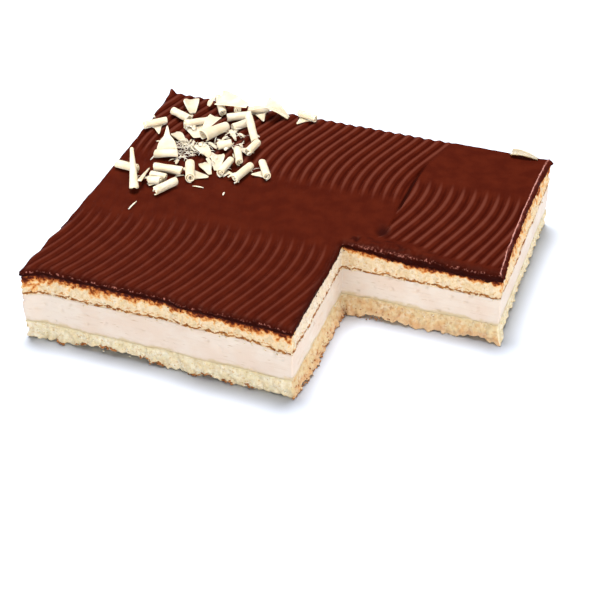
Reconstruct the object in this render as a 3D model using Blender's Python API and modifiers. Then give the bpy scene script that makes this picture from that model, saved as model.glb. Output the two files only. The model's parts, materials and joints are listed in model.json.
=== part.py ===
"""A chocolate hazelnut sheet cake with one piece cut out of its front right corner.

From the bottom up it has a sponge base, a thick hazelnut cream, a second sponge and a chocolate icing. The
icing was drawn into waves with a toothed comb in two passes, and white chocolate curls lie at its back left.
The frame is +X along the long front edge, +Y to the back and +Z up, with the origin in the middle of the base.
"""

import math
import random

import bmesh
import bpy
from mathutils import Matrix, Vector, noise
from mathutils.bvhtree import BVHTree

MM = 0.001

# The whole sheet and the piece cut out of its front right corner.
LENGTH = 240 * MM
WIDTH = 199 * MM
CUT_LENGTH = 88.2 * MM
CUT_WIDTH = 79.9 * MM

# Heights of the layers above the board.
BASE_TOP = 11.3 * MM
CREAM_TOP = 28.2 * MM
SPONGE_TOP = 41.3 * MM
ICING_TOP = 45.3 * MM
GAP = 0.3 * MM

# The cut walls: how they are sampled and how uneven they are.
WALL_STEP = 7 * MM
RIM_BAND = 5 * MM
LEFT_BOW = 3.2 * MM
RIGHT_BOW = 2.2 * MM
BOW_REACH = 20 * MM
CRAG_SIZE = 14 * MM
CRUMB_SIZE = 6 * MM
SPONGE_CRAG = 0.7 * MM
CREAM_CRAG = 0.25 * MM
CREAM_BULGE = 0.35 * MM
ICING_CRAG = 0.5 * MM
WAVER_SIZE = 22 * MM
LAYER_WAVER = 0.8 * MM

# The front wall leans back: how far at its top, the share of that at its foot, and where from left to right
# the lean comes in, eases off to a part of itself, and ends.
LEAN = 4.2 * MM
LEAN_AT_FOOT = 0.25
LEAN_IN = (-120 * MM, -108 * MM)
LEAN_EASES = (-45 * MM, -20 * MM)
LEAN_EASED = 0.3
LEAN_OUT = (5 * MM, 31 * MM)

# How far the cream reaches up the front wall, at its left and in its middle, and where that changes.
CREAM_RISE = 0.9 * MM
CREAM_RISE_MORE = 1.5 * MM
CREAM_RISES = (-55 * MM, -30 * MM)
CREAM_SINKS = (8 * MM, 28 * MM)

# The torn lower rim: its height, the size of its tears, the long tear at the front from one x to another, and
# how near to the cut's two left corners it stays whole.
TORN_RIM = 3.0 * MM
TEAR_SIZE = 13 * MM
LONG_TEAR = (-88 * MM, -50 * MM)
WHOLE_CORNER = (5 * MM, 14 * MM)

# Along the cut's back wall the icing is thin at the inner corner and thick to the right.
THIN_ICING = 1.3 * MM
THICK_ICING = 1.7 * MM

# The comb's two passes. A ridge sways to and fro about its line as it runs from the front to the back.
SWAY = 8.9 * MM
SWAY_LENGTH = 165 * MM
LEFT_TURN = 41.2 * MM
LEFT_RIDGE = -145.55 * MM
LEFT_PITCH = 6.15 * MM
LEFT_RIDGES = 34
RIGHT_TURN = 43.5 * MM
RIGHT_RIDGE = 47.6 * MM
RIGHT_PITCH = 6.65 * MM
RIGHT_RIDGES = 15
RIDGE_DEPTH = 1.3 * MM
SEAM_X = 51 * MM
SEAM_BACK = 45 * MM
SEAM_BACK_BEND = 3.3
SEAM_FRONT = 18 * MM
SEAM_FRONT_BEND = 4.5
SEAM_FRONT_REACH = 30 * MM
SEAM_DEPTH = 0.9 * MM
SEAM_SLOPE = 2.5 * MM
COMB_ROW = 10 * MM
LIP = 3.5 * MM
LIP_DROP = 0.9 * MM
LIP_LUMP = 0.5 * MM
LUMP_SIZE = 9 * MM

# Where, from the front to the back, the first pass fades out and comes back, and the second comes and goes.
LEFT_FADES = (-28 * MM, -16 * MM, 22 * MM, 42 * MM)
LEFT_FADED = 0.3
RIGHT_FADES = (-13 * MM, -5 * MM, 52 * MM, 66 * MM)

# The white chocolate.
SHAVING = 0.9 * MM
ROLL_RADIUS = 2.5 * MM
ROLL_TURNS = 1.15
ROLL_TIGHTER = 1.4 * MM
ROLL_SLANT = 0.08
CONE_TIP = 0.6 * MM
CONE_WRAP = 325
CONE_SLANT = 0.05
FLAKE_CUP = 8 * MM
FLAKE_TAPER = 0.75
FLAKE_WIDEST = 0.35
FLAKE_RISE = 1.2 * MM

# How a curl comes down on the heap, and the leans (degrees) that it may come to rest at.
DROP_STEP = 0.25 * MM
DROP_FROM = 20 * MM
LEANS = (0, -6, 6, -12, 12, -18, 18, -24, 24)
LEAN_COST = 0.02 * MM

# The heap of fine shreds: how many, where, how far it spreads, and the size of a shred.
SHRED_COUNT = 16
SHRED_HEAP = (-82.5 * MM, 36.5 * MM)
SHRED_SPREAD = (7 * MM, 9 * MM)
SHRED_LENGTHS = (4 * MM, 7 * MM)
SHRED_WIDTH = 1.3 * MM
SHRED_HEIGHT = 1.5 * MM
SHRED_TAPER = 0.35

# Each curl by its middle (mm), the way it points (degrees) and its length (mm), as seen from above.
# A roll may have its own radius, and a tail, the part of its sheet that was not rolled up: how far it reaches,
# climbs and skews (mm), on which side, where it leaves the roll (0 to 1 along it), and the shares of the roll's
# length that its root and its tip take. A cone widens towards the way it points, from its tip's radius to its
# mouth's. A flake is nearly flat and narrows to its tip: it has a width, the radius that its long edges curl to,
# and the share of its width that it has at its root.
# lift raises the end that a curl points to, and bank turns it about its own axis (degrees).
# They are listed from the first to fall to the last, so that a later one lies on an earlier one.
CURLS = (
    dict(kind="roll", at=(-107.2, 7.4), turn=-4, length=15),
    dict(kind="cone", at=(-99.9, 0.4), turn=-64, length=29, mouth=2.4, lift=-8),
    dict(kind="flake", at=(-93.6, 1.6), turn=99, length=21, width=3.6),
    dict(kind="roll", at=(-111.4, 56.4), turn=42, length=15, tail=14, side=-1, leaves=0.6, root=0.4, skew=-3.2),
    dict(kind="roll", at=(-91.3, 26.6), turn=14, length=14, tail=26, root=0.98, tip=0.1, climb=6, skew=-3),
    dict(kind="flake", at=(-92.6, 49.2), turn=-40, length=14, width=8, root=0.5),
    dict(kind="roll", at=(-84.0, 12.4), turn=3, length=17.4),
    dict(kind="roll", at=(-85.8, 3.4), turn=-3, length=10),
    dict(kind="roll", at=(-86.0, -2.4), turn=2, length=8.6, tail=6, side=-1, leaves=0.3, root=0.3, skew=-1),
    dict(kind="roll", at=(-78.3, -5.2), turn=62, length=16),
    dict(kind="roll", at=(-70.9, 15.0), turn=-67, length=18, radius=3, tail=10.5, root=0.8, tip=0.1, skew=5),
    dict(kind="roll", at=(-100.8, 71.0), turn=-23, length=15, tail=8, leaves=0.75, root=0.5),
    dict(kind="flake", at=(-100.0, 85.8), turn=-64, length=17, width=14, cup=6, root=0.4),
    dict(kind="roll", at=(-87.4, 65.8), turn=34, length=18, tail=15, side=-1, leaves=0.42, root=0.84, tip=0.6),
    dict(kind="flake", at=(-79.0, 63.0), turn=-100, length=16, width=9),
    dict(kind="cone", at=(-73.0, 57.4), turn=247, length=20, mouth=3.5, tip=2.4),
    dict(kind="roll", at=(-63.2, 71.4), turn=56, length=11),
    dict(kind="roll", at=(-67.4, 80.6), turn=34, length=15),
    dict(kind="roll", at=(-53.0, 66.6), turn=-57, length=20),
    dict(kind="flake", at=(-63.4, 61.6), turn=-44, length=9, width=4, root=0.5),
    dict(kind="roll", at=(-46.6, 50.6), turn=-98, length=13, tail=9, side=-1, leaves=0.6, root=0.8, skew=3),
    dict(kind="roll", at=(-50.8, 39.2), turn=-64, length=15),
    dict(kind="roll", at=(-31.8, 30.2), turn=-59, length=17, tail=9, side=-1, leaves=0.6, root=0.5),
    dict(kind="roll", at=(-42.4, 22.4), turn=77, length=18),
    dict(kind="roll", at=(-53.4, 25.2), turn=87, length=16, tail=7, side=-1, leaves=0.3),
    dict(kind="roll", at=(-82.2, 89.4), turn=-59, length=20),
    dict(kind="roll", at=(-70.4, 88.4), turn=-70, length=12),
    dict(kind="roll", at=(-58.8, 91.0), turn=32, length=13, tail=14, side=-1, leaves=0.6, root=0.6),
    dict(kind="flake", at=(-46.8, 92.0), turn=8, length=16, width=14, lift=-14),
    dict(kind="roll", at=(-28.6, 94.6), turn=-15, length=13, tail=11, side=-1, leaves=0.4, root=0.6),
    dict(kind="flake", at=(-73.0, 87.6), turn=-14, length=21, width=13, bank=25),
    dict(kind="flake", at=(-88.6, 90.4), turn=72, length=7, width=4, root=0.5),
    dict(kind="flake", at=(-72.6, 39.0), turn=-36, length=15, width=10, root=0.5),
    dict(kind="flake", at=(-60.8, 31.2), turn=-72, length=17, width=11, cup=6, root=0.6),
    dict(kind="flake", at=(-64.6, 22.6), turn=-45, length=13, width=8, root=0.5),
    dict(kind="roll", at=(-63.4, 47.6), turn=40, length=9),
    dict(kind="flake", at=(104.7, 97.0), turn=-2, length=16, width=8, cup=4),
)

# Loose shreds beside the heap: the middle (mm), the way they point (degrees) and the length (mm).
LOOSE_SHREDS = (
    (-61.8, 4.0, 3, 6.6),
    (-88.9, -25.1, 84, 8.2),
    (-45.4, 2.1, 96, 3.1),
    (-102.0, 41.6, 12, 4.0),
    (6.7, 21.2, -56, 3.2),
)

COLOURS = {
    "bottom_sponge": (0.80, 0.66, 0.38),
    "hazelnut_cream": (0.80, 0.62, 0.48),
    "top_sponge": (0.85, 0.70, 0.42),
    "chocolate_icing": (0.10, 0.020, 0.010),
    "white_chocolate": (0.85, 0.78, 0.60),
}


def clear_scene():
    for obj in list(bpy.data.objects):
        bpy.data.objects.remove(obj, do_unlink=True)


def new_collection(name):
    collection = bpy.data.collections.new(name)
    bpy.context.scene.collection.children.link(collection)
    return collection


def new_material(name, roughness):
    material = bpy.data.materials.new(name)
    material.use_nodes = True
    shader = material.node_tree.nodes["Principled BSDF"]
    shader.inputs["Base Color"].default_value = (*COLOURS[name], 1)
    shader.inputs["Roughness"].default_value = roughness
    shader.inputs["Metallic"].default_value = 0
    return material


def new_object(name, shape, collection, material=None):
    """An object from an edit mesh, whose faces are turned to point outwards first where it is closed."""
    if not any(edge.is_boundary for edge in shape.edges):
        bmesh.ops.recalc_face_normals(shape, faces=shape.faces)
    mesh = bpy.data.meshes.new(name)
    shape.to_mesh(mesh)
    shape.free()
    obj = bpy.data.objects.new(name, mesh)
    collection.objects.link(obj)
    if material:
        mesh.materials.append(material)
    return obj


def eased(start, end, value):
    share = min(max((value - start) / (end - start), 0), 1)
    return share * share * (3 - 2 * share)


def corners():
    """The six corners of the plan, anticlockwise from the front left."""
    left, right, front, back = -LENGTH / 2, LENGTH / 2, -WIDTH / 2, WIDTH / 2
    return (
        Vector((left, front)),
        Vector((right - CUT_LENGTH, front)),
        Vector((right - CUT_LENGTH, front + CUT_WIDTH)),
        Vector((right, front + CUT_WIDTH)),
        Vector((right, back)),
        Vector((left, back)),
    )


def walls():
    """Each straight wall of the plan as its start, its end and its outward direction."""
    points = corners()
    for start, end in zip(points, points[1:] + points[:1]):
        along = (end - start).normalized()
        yield start, end, Vector((along.y, -along.x))


def outline():
    points = []
    for start, end, _ in walls():
        steps = round((end - start).length / WALL_STEP)
        points += [start.lerp(end, step / steps) for step in range(steps)]
    return points


def outward(place):
    """The direction out of the wall that a place lies on, which is diagonal at a corner."""
    total = Vector((0, 0))
    for start, end, direction in walls():
        along = (place - start).dot(end - start) / (end - start).length_squared
        if abs((place - start).dot(direction)) < GAP and -GAP < along < 1 + GAP:
            total += direction
    return total


def waver(place, seed):
    """How far a seam between two layers rises or falls where it comes out at a wall, from -1 to 1."""
    return noise.noise(Vector((place.x / WAVER_SIZE, place.y / WAVER_SIZE, seed)))


def crag(place):
    """The unevenness of a wall cut through crumb, from -1 to 1."""
    coarse = noise.noise(place / CRAG_SIZE)
    fine = noise.noise(place / CRUMB_SIZE + Vector((7, 3, 1)))
    return 0.6 * coarse + 0.7 * fine


def bow(place):
    """How far the left wall, and the upper part of the right one, bow in between their corners."""
    left = 1 - eased(0, BOW_REACH, place.x + LENGTH / 2)
    right = (1 - eased(0, BOW_REACH, LENGTH / 2 - place.x)) * eased(CREAM_TOP, SPONGE_TOP, place.z)
    across = (place.y - CUT_WIDTH / 2) / (WIDTH - CUT_WIDTH)
    inward = LEFT_BOW * left * max(0, math.cos(math.pi * place.y / WIDTH)) ** 0.8
    return inward - RIGHT_BOW * right * max(0, math.cos(math.pi * across)) ** 0.5


def lean(place):
    """How far the front wall leans back at a place."""
    near = 1 - eased(0, BOW_REACH, place.y + WIDTH / 2)
    height = LEAN_AT_FOOT + (1 - LEAN_AT_FOOT) * eased(0, ICING_TOP, place.z)
    along = eased(*LEAN_IN, place.x) * (1 - eased(*LEAN_OUT, place.x))
    along *= 1 - (1 - LEAN_EASED) * eased(*LEAN_EASES, place.x)
    return LEAN * near * height * along


def torn(place):
    """How far the lower rim of the base is torn up from the board."""
    ragged = max(0, noise.noise(Vector((place.x / TEAR_SIZE, place.y / TEAR_SIZE, 4.0))) + 0.05)
    front = 1 - eased(2.5 * MM, 9.5 * MM, place.y + WIDTH / 2)
    start, end = (eased(-4 * MM, 4 * MM, place.x - x) for x in LONG_TEAR)
    whole = min(eased(*WHOLE_CORNER, (place.xy - corner).length) for corner in corners()[1:3])
    return TORN_RIM * whole * min(1, 1.6 * ragged + front * start * (1 - end))


def icing_edge(place):
    """How far the icing's lower edge rises over its seam, or sags under it, along the cut's back wall."""
    inner = Vector((LENGTH / 2 - CUT_LENGTH, CUT_WIDTH - WIDTH / 2))
    on_back_wall = 1 - eased(GAP, 8 * MM, abs(place.y - inner.y))
    past_corner = eased(-4 * MM, 0, place.x - inner.x)
    slump = THIN_ICING - (THIN_ICING + THICK_ICING) * eased(0, 40 * MM, place.x - inner.x)
    return slump * on_back_wall * past_corner


def slab(low, high, low_shift, high_shift, rings, roughness, bulge=0.0):
    """A closed slab of the plan with uneven walls.

    Its flat faces stop a band short of the walls, and in that band they bend to low_shift and high_shift.
    """
    shape = bmesh.new()
    face = shape.faces.new([shape.verts.new((point.x, point.y, low)) for point in outline()])
    grown = bmesh.ops.extrude_face_region(shape, geom=[face])["geom"]
    lifted = [item for item in grown if isinstance(item, bmesh.types.BMVert)]
    bmesh.ops.translate(shape, verts=lifted, vec=(0, 0, high - low))
    upright = [edge for edge in shape.edges if abs(edge.verts[0].co.z - edge.verts[1].co.z) > GAP]
    bmesh.ops.subdivide_edges(shape, edges=upright, cuts=rings)
    bmesh.ops.recalc_face_normals(shape, faces=shape.faces)
    wall = list(shape.verts)
    flats = [face for face in shape.faces if len(face.verts) > 4]
    bmesh.ops.inset_individual(shape, faces=flats, thickness=RIM_BAND, use_even_offset=True)
    for vert in wall:
        place = vert.co.copy()
        share = (place.z - low) / (high - low)
        vert.co.z += (1 - share) * low_shift(place) + share * high_shift(place)
        swell = roughness * crag(place) + bulge * 4 * share * (1 - share)
        vert.co.xy += outward(place.xy) * swell
    for vert in shape.verts:
        vert.co += Vector((bow(vert.co), lean(vert.co), 0))
    bmesh.ops.triangulate(shape, faces=shape.faces)
    return shape


def base_seam(place):
    return LAYER_WAVER * waver(place, 1.0)


def cream_seam(place):
    on_front = 1 - eased(GAP, 3 * MM, place.y + WIDTH / 2)
    rise = (CREAM_RISE + CREAM_RISE_MORE * eased(*CREAM_RISES, place.x)) * (1 - eased(*CREAM_SINKS, place.x))
    return LAYER_WAVER * waver(place, 2.0) + rise * on_front


def icing_seam(place):
    return 0.5 * LAYER_WAVER * waver(place, 3.0) + icing_edge(place)


def seat(obj, height):
    """Puts the object's own origin at the height that it rests at, without moving its surface."""
    obj.data.transform(Matrix.Translation((0, 0, -height)))
    obj.location.z = height
    return obj


def make_bottom_sponge(collection):
    shape = slab(0, BASE_TOP, torn, base_seam, 2, SPONGE_CRAG)
    return new_object("bottom_sponge", shape, collection, new_material("bottom_sponge", 0.9))


def make_cream(collection):
    shape = slab(BASE_TOP + GAP, CREAM_TOP, base_seam, cream_seam, 1, CREAM_CRAG, CREAM_BULGE)
    cream = new_object("hazelnut_cream", shape, collection, new_material("hazelnut_cream", 0.55))
    return seat(cream, BASE_TOP + GAP)


def make_top_sponge(collection):
    shape = slab(CREAM_TOP + GAP, SPONGE_TOP, cream_seam, icing_seam, 2, SPONGE_CRAG)
    sponge = new_object("top_sponge", shape, collection, new_material("top_sponge", 0.9))
    return seat(sponge, CREAM_TOP + GAP)


def seam_x(y):
    """The line where the comb's second pass starts beside the first."""
    back = max(0, y - SEAM_BACK)
    front = min(max(0, SEAM_FRONT - y), SEAM_FRONT_REACH)
    return SEAM_X + SEAM_BACK_BEND * back * back - SEAM_FRONT_BEND * front * front


def sway(y, turn):
    return SWAY * (1 - math.cos(2 * math.pi * (y - turn) / SWAY_LENGTH))


def left_strength(y):
    """The first pass is deep at the front and back, and nearly flat where the comb was lifted between them."""
    out_from, out_to, in_from, in_to = LEFT_FADES
    faded = eased(out_from, out_to, y) * (1 - eased(in_from, in_to, y))
    return 1 - (1 - LEFT_FADED) * faded


def right_strength(y):
    """The second pass is deep in its middle, smooth behind and dragged flat along the cut."""
    in_from, in_to, out_from, out_to = RIGHT_FADES
    return eased(in_from, in_to, y) * (1 - eased(out_from, out_to, y))


def lip_share(x, y):
    """How near a place is to the front rim or to the cut's back rim, where the ridges are dragged out."""
    front = 1 - eased(0, LIP, y + WIDTH / 2)
    in_cut = eased(-LIP, 0, x - (LENGTH / 2 - CUT_LENGTH))
    cut = (1 - eased(0, 2 * LIP, y - (CUT_WIDTH - WIDTH / 2))) * in_cut
    return max(front, cut)


def comb_height(x, y, crest, strength):
    """The icing's height at a place: crest is 1 on a ridge and 0 in a groove."""
    lip = lip_share(x, y)
    lump = noise.noise(Vector((x / LUMP_SIZE, y / LUMP_SIZE, 5.0)))
    groove = RIDGE_DEPTH * strength * (1 - 0.7 * lip) * (1 - crest)
    return ICING_TOP - groove - lip * (LIP_DROP - LIP_LUMP * lump)


def comb_rows():
    """Row positions from front to back, closer together along the two lips."""
    front, cut = -WIDTH / 2, CUT_WIDTH - WIDTH / 2
    steps = round((WIDTH - 2 * LIP) / COMB_ROW)
    rows = [front + LIP + (WIDTH - 2 * LIP) * step / steps for step in range(steps + 1)]
    rows = [y for y in rows if abs(y - cut - LIP) > LIP]
    rows += [front - LIP, front + 0.2 * LIP, cut + 0.2 * LIP, cut + 2 * LIP, -front + LIP]
    return sorted(rows)


def comb_columns():
    """Each column's pass, line and crest, from left to right. Two columns stand on either side of the seam."""
    columns = []
    for half in range(2 * LEFT_RIDGES):
        columns.append(("left", LEFT_RIDGE + half * LEFT_PITCH / 2, 1 - half % 2))
    columns.append(("left", LENGTH, 0))
    for half in range(2 * RIGHT_RIDGES):
        columns.append(("right", RIGHT_RIDGE + half * RIGHT_PITCH / 2, 1 - half % 2))
    return columns


def comb_point(column, y):
    comb_pass, line, crest = column
    seam = seam_x(y)
    if comb_pass == "left":
        x = min(line + sway(y, LEFT_TURN), seam - GAP)
        crest = crest if x < seam - GAP else 0
        z = comb_height(x, y, crest, left_strength(y))
        near = 1 - eased(0, SEAM_SLOPE, seam - GAP - x)
        place = Vector((x, y, z - SEAM_DEPTH * near))
    else:
        x = max(line - sway(y, RIGHT_TURN), seam + GAP)
        crest = crest if x > seam + GAP else 1
        place = Vector((x, y, comb_height(x, y, crest, right_strength(y))))
    return place + Vector((0, lean(place), 0))


def make_comb_volume(collection):
    """All that is under the combed surface: a sheet that follows the ridges, extruded down."""
    columns, rows = comb_columns(), comb_rows()
    shape = bmesh.new()
    sheet = bmesh.ops.create_grid(shape, x_segments=len(columns) - 1, y_segments=len(rows) - 1, size=0.5)
    for vert in sheet["verts"]:
        column = columns[round((vert.co.x + 0.5) * (len(columns) - 1))]
        y = rows[round((vert.co.y + 0.5) * (len(rows) - 1))]
        vert.co = comb_point(column, y)
    bmesh.ops.remove_doubles(shape, verts=shape.verts, dist=0.01 * MM)
    grown = bmesh.ops.extrude_face_region(shape, geom=list(shape.faces))["geom"]
    for item in grown:
        if isinstance(item, bmesh.types.BMVert):
            item.co.z = SPONGE_TOP - 10 * MM
    bmesh.ops.triangulate(shape, faces=shape.faces)
    volume = new_object("comb_volume", shape, collection)
    volume.hide_render = True
    volume.display_type = "WIRE"
    return volume


def make_shred(name, x, y, turn, length, collection):
    """A sliver of white chocolate, half sunk in the icing, narrow at one end."""
    shape = bmesh.new()
    bmesh.ops.create_cube(shape, size=1)
    for vert in shape.verts:
        narrow = SHRED_TAPER if vert.co.x > 0 else 1.0
        vert.co = Vector((vert.co.x * length, vert.co.y * SHRED_WIDTH * narrow, vert.co.z * SHRED_HEIGHT))
    shred = new_object(name, shape, collection)
    shred.location = (x, y, ICING_TOP)
    shred.rotation_euler.z = turn
    return shred


def make_shreds(collection):
    draw = random.Random(11)
    for index in range(SHRED_COUNT):
        around = 2 * math.pi * index / SHRED_COUNT
        out = math.sqrt((index % 4 + 0.6) / 4)
        x = SHRED_HEAP[0] + SHRED_SPREAD[0] * out * math.cos(around)
        y = SHRED_HEAP[1] + SHRED_SPREAD[1] * out * math.sin(around)
        turn = draw.uniform(0, math.pi)
        make_shred(f"shred_{index}", x, y, turn, draw.uniform(*SHRED_LENGTHS), collection)
    for index, (x, y, turn, length) in enumerate(LOOSE_SHREDS):
        make_shred(f"loose_shred_{index}", x * MM, y * MM, math.radians(turn), length * MM, collection)


def apply_boolean(obj, operation, other=None, collection=None):
    modifier = obj.modifiers.new(operation.title(), "BOOLEAN")
    modifier.operation = operation
    modifier.solver = "EXACT"
    if collection:
        modifier.operand_type = "COLLECTION"
        modifier.collection = collection
    else:
        modifier.object = other
    graph = bpy.context.evaluated_depsgraph_get()
    joined = bpy.data.meshes.new_from_object(obj.evaluated_get(graph))
    obj.modifiers.clear()
    obj.data = joined


def make_icing(collection, cutters):
    """The plan's slab up to the combed surface, with the shreds of white chocolate fused on."""
    shape = slab(SPONGE_TOP + GAP, ICING_TOP + 3 * MM, icing_seam, lambda place: 0, 0, ICING_CRAG)
    icing = new_object("chocolate_icing", shape, collection, new_material("chocolate_icing", 0.3))
    apply_boolean(icing, "INTERSECT", other=make_comb_volume(cutters))
    shreds = new_collection("shreds")
    make_shreds(shreds)
    apply_boolean(icing, "UNION", collection=shreds)
    for shred in list(shreds.objects):
        bpy.data.objects.remove(shred, do_unlink=True)
    bpy.data.collections.remove(shreds)
    return seat(icing, SPONGE_TOP + GAP)


def tail_span(curl):
    """Where the root and the tip of a roll's tail start and end, along the roll."""
    middle, root, tip = curl.get("leaves", 0.5), curl.get("root", 0.5) / 2, curl.get("tip", 0) / 2
    return middle - root, middle - tip, middle + tip, middle + root


def roll_point(across, around, curl):
    """A sheet rolled up about the local X axis. From 1 to 2 around, its tail leaves the roll along the ground."""
    length = curl["length"] * MM
    rolled = min(around, 1)
    angle = 2 * math.pi * ROLL_TURNS * (rolled - 1)
    radius = curl.get("radius", ROLL_RADIUS / MM) * MM - ROLL_TIGHTER * (1 - rolled)
    slant = ROLL_SLANT * length * math.sin(3 * rolled)
    x = (across - 0.5) * (length - abs(slant)) + slant / 2
    y, z = radius * math.sin(angle), -radius * math.cos(angle)
    if around > 1:
        root_start, tip_start, tip_end, root_end = tail_span(curl)
        rise = (across - root_start) / (tip_start - root_start)
        fall = (root_end - across) / (root_end - tip_end)
        reach = (around - 1) * min(1, max(0, min(rise, fall)))
        x += reach * curl.get("skew", 0) * MM
        y += reach * curl["tail"] * MM
        z += reach * curl.get("climb", 1) * MM
    return Vector((x, y * curl.get("side", 1), z))


def cone_point(across, around, curl):
    """A sheet wrapped to a cone that widens towards local +X, with its slit underneath."""
    tip, mouth = curl.get("tip", CONE_TIP / MM) * MM, curl["mouth"] * MM
    radius = tip + across * (mouth - tip)
    angle = math.radians(CONE_WRAP) * (around / 2 - 0.5)
    x = (across - 0.5 + CONE_SLANT * math.cos(angle) * across) * curl["length"] * MM
    return Vector((x, radius * math.sin(angle), radius * math.cos(angle)))


def flake_point(across, around, curl):
    """A nearly flat shaving: it narrows towards local +X and its two long edges curl up."""
    cup = curl.get("cup", FLAKE_CUP / MM) * MM
    root = curl.get("root", 1)
    narrow = min(1, root + (1 - root) * across / FLAKE_WIDEST)
    width = curl["width"] * MM * narrow * (1 - FLAKE_TAPER * across ** 1.5)
    angle = width / cup * (around / 2 - 0.5)
    rise = FLAKE_RISE * math.sin(math.pi * across)
    x = (across - 0.5) * curl["length"] * MM
    return Vector((x, cup * math.sin(angle), cup * (1 - math.cos(angle)) + rise))


SHAVINGS = {"roll": (roll_point, 8), "cone": (cone_point, 7), "flake": (flake_point, 4)}


def curl_steps(curl):
    """The positions across and around at which a curl's sheet is sampled."""
    _, turns = SHAVINGS[curl["kind"]]
    if curl["kind"] != "roll":
        return [0, FLAKE_WIDEST, 2 * FLAKE_WIDEST, 1], [2 * step / turns for step in range(turns + 1)]
    around = [step / turns for step in range(turns + 1)]
    if "tail" not in curl:
        return [0, 1], around
    return sorted({0, *tail_span(curl), 1}), around + [1.5, 2]


def make_curl(name, curl, collection, material):
    point_on, _ = SHAVINGS[curl["kind"]]
    across, around = curl_steps(curl)
    shape = bmesh.new()
    sheet = bmesh.ops.create_grid(shape, x_segments=len(across) - 1, y_segments=len(around) - 1, size=0.5)
    for vert in sheet["verts"]:
        a = across[round((vert.co.x + 0.5) * (len(across) - 1))]
        b = around[round((vert.co.y + 0.5) * (len(around) - 1))]
        vert.co = point_on(a, b, curl)
    bmesh.ops.remove_doubles(shape, verts=shape.verts, dist=0.01 * MM)
    obj = new_object(name, shape, collection, material)
    thick = obj.modifiers.new("Shaving", "SOLIDIFY")
    thick.thickness = SHAVING
    thick.offset = 0
    obj.data.shade_smooth()
    obj.data.set_sharp_from_angle(angle=math.radians(50))
    return obj


def solid_of(obj, matrix):
    """The corners and the faces of the object's solid, turned and moved by a matrix."""
    graph = bpy.context.evaluated_depsgraph_get()
    mesh = obj.evaluated_get(graph).to_mesh()
    points = [matrix @ vert.co for vert in mesh.vertices]
    faces = [tuple(face.vertices) for face in mesh.polygons]
    obj.evaluated_get(graph).to_mesh_clear()
    return points, faces


def tree_at(points, faces, height):
    """A search tree of a solid raised to a height."""
    return BVHTree.FromPolygons([point + Vector((0, 0, height)) for point in points], faces)


def drop_height(points, faces, heap):
    """The lowest height at which a curl that comes straight down is still clear of the heap."""
    height = ICING_TOP + DROP_FROM
    while not any(tree.overlap(tree_at(points, faces, height - DROP_STEP)) for tree in heap):
        height -= DROP_STEP
    return height


def drop(obj, curl, heap):
    """Lets a curl come to rest: of several leans it takes the one that brings its middle lowest."""
    facing = Matrix.Rotation(math.radians(curl["turn"]), 4, "Z")
    x, y = curl["at"]
    rests = []
    for lean in LEANS:
        raised = Matrix.Rotation(math.radians(-curl.get("lift", 0) - lean), 4, "Y")
        banked = Matrix.Rotation(math.radians(curl.get("bank", 0)), 4, "X")
        pose = Matrix.Translation((x * MM, y * MM, 0)) @ facing @ raised @ banked
        points, faces = solid_of(obj, pose)
        height = drop_height(points, faces, heap)
        middle = height + sum(point.z for point in points) / len(points)
        rests.append((middle + LEAN_COST * abs(lean), height, pose, points, faces))
    _, height, pose, points, faces = min(rests, key=lambda rest: rest[0])
    obj.matrix_world = Matrix.Translation((0, 0, height)) @ pose
    heap.append(tree_at(points, faces, height))


def make_curls(collection, icing):
    material = new_material("white_chocolate", 0.5)
    points, faces = solid_of(icing, icing.matrix_basis)
    heap = [BVHTree.FromPolygons(points, faces)]
    curls = []
    for number, curl in enumerate(CURLS, start=1):
        obj = make_curl(f"white_curl_{number:02d}", curl, collection, material)
        bpy.context.view_layer.update()
        drop(obj, curl, heap)
        curls.append(obj)
    return curls


def main():
    clear_scene()
    cake = new_collection("chocolate_hazelnut_cake")
    cutters = new_collection("cutters")
    icing = make_icing(cake, cutters)
    pieces = [make_bottom_sponge(cake), make_cream(cake), make_top_sponge(cake), icing]
    pieces += make_curls(cake, icing)
    carrier = bpy.data.objects.new("cake", None)
    cake.objects.link(carrier)
    for piece in pieces:
        piece.parent = carrier


main()
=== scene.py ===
# %% [markdown]
# # A chocolate hazelnut cake, dressed for its picture
# The cake is a sheet of sponge, hazelnut cream, sponge and chocolate icing with one corner cut out, and white
# chocolate curls on its back left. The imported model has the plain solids. This lesson lays the real surfaces
# over them: crumb, cream, combed icing and rolled shavings.
# The frame is loaded first, because every piece has to sit where its solid is.

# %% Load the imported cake
import json
import math
import random

import bmesh
import bpy
from mathutils import Matrix, Vector, noise

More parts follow.
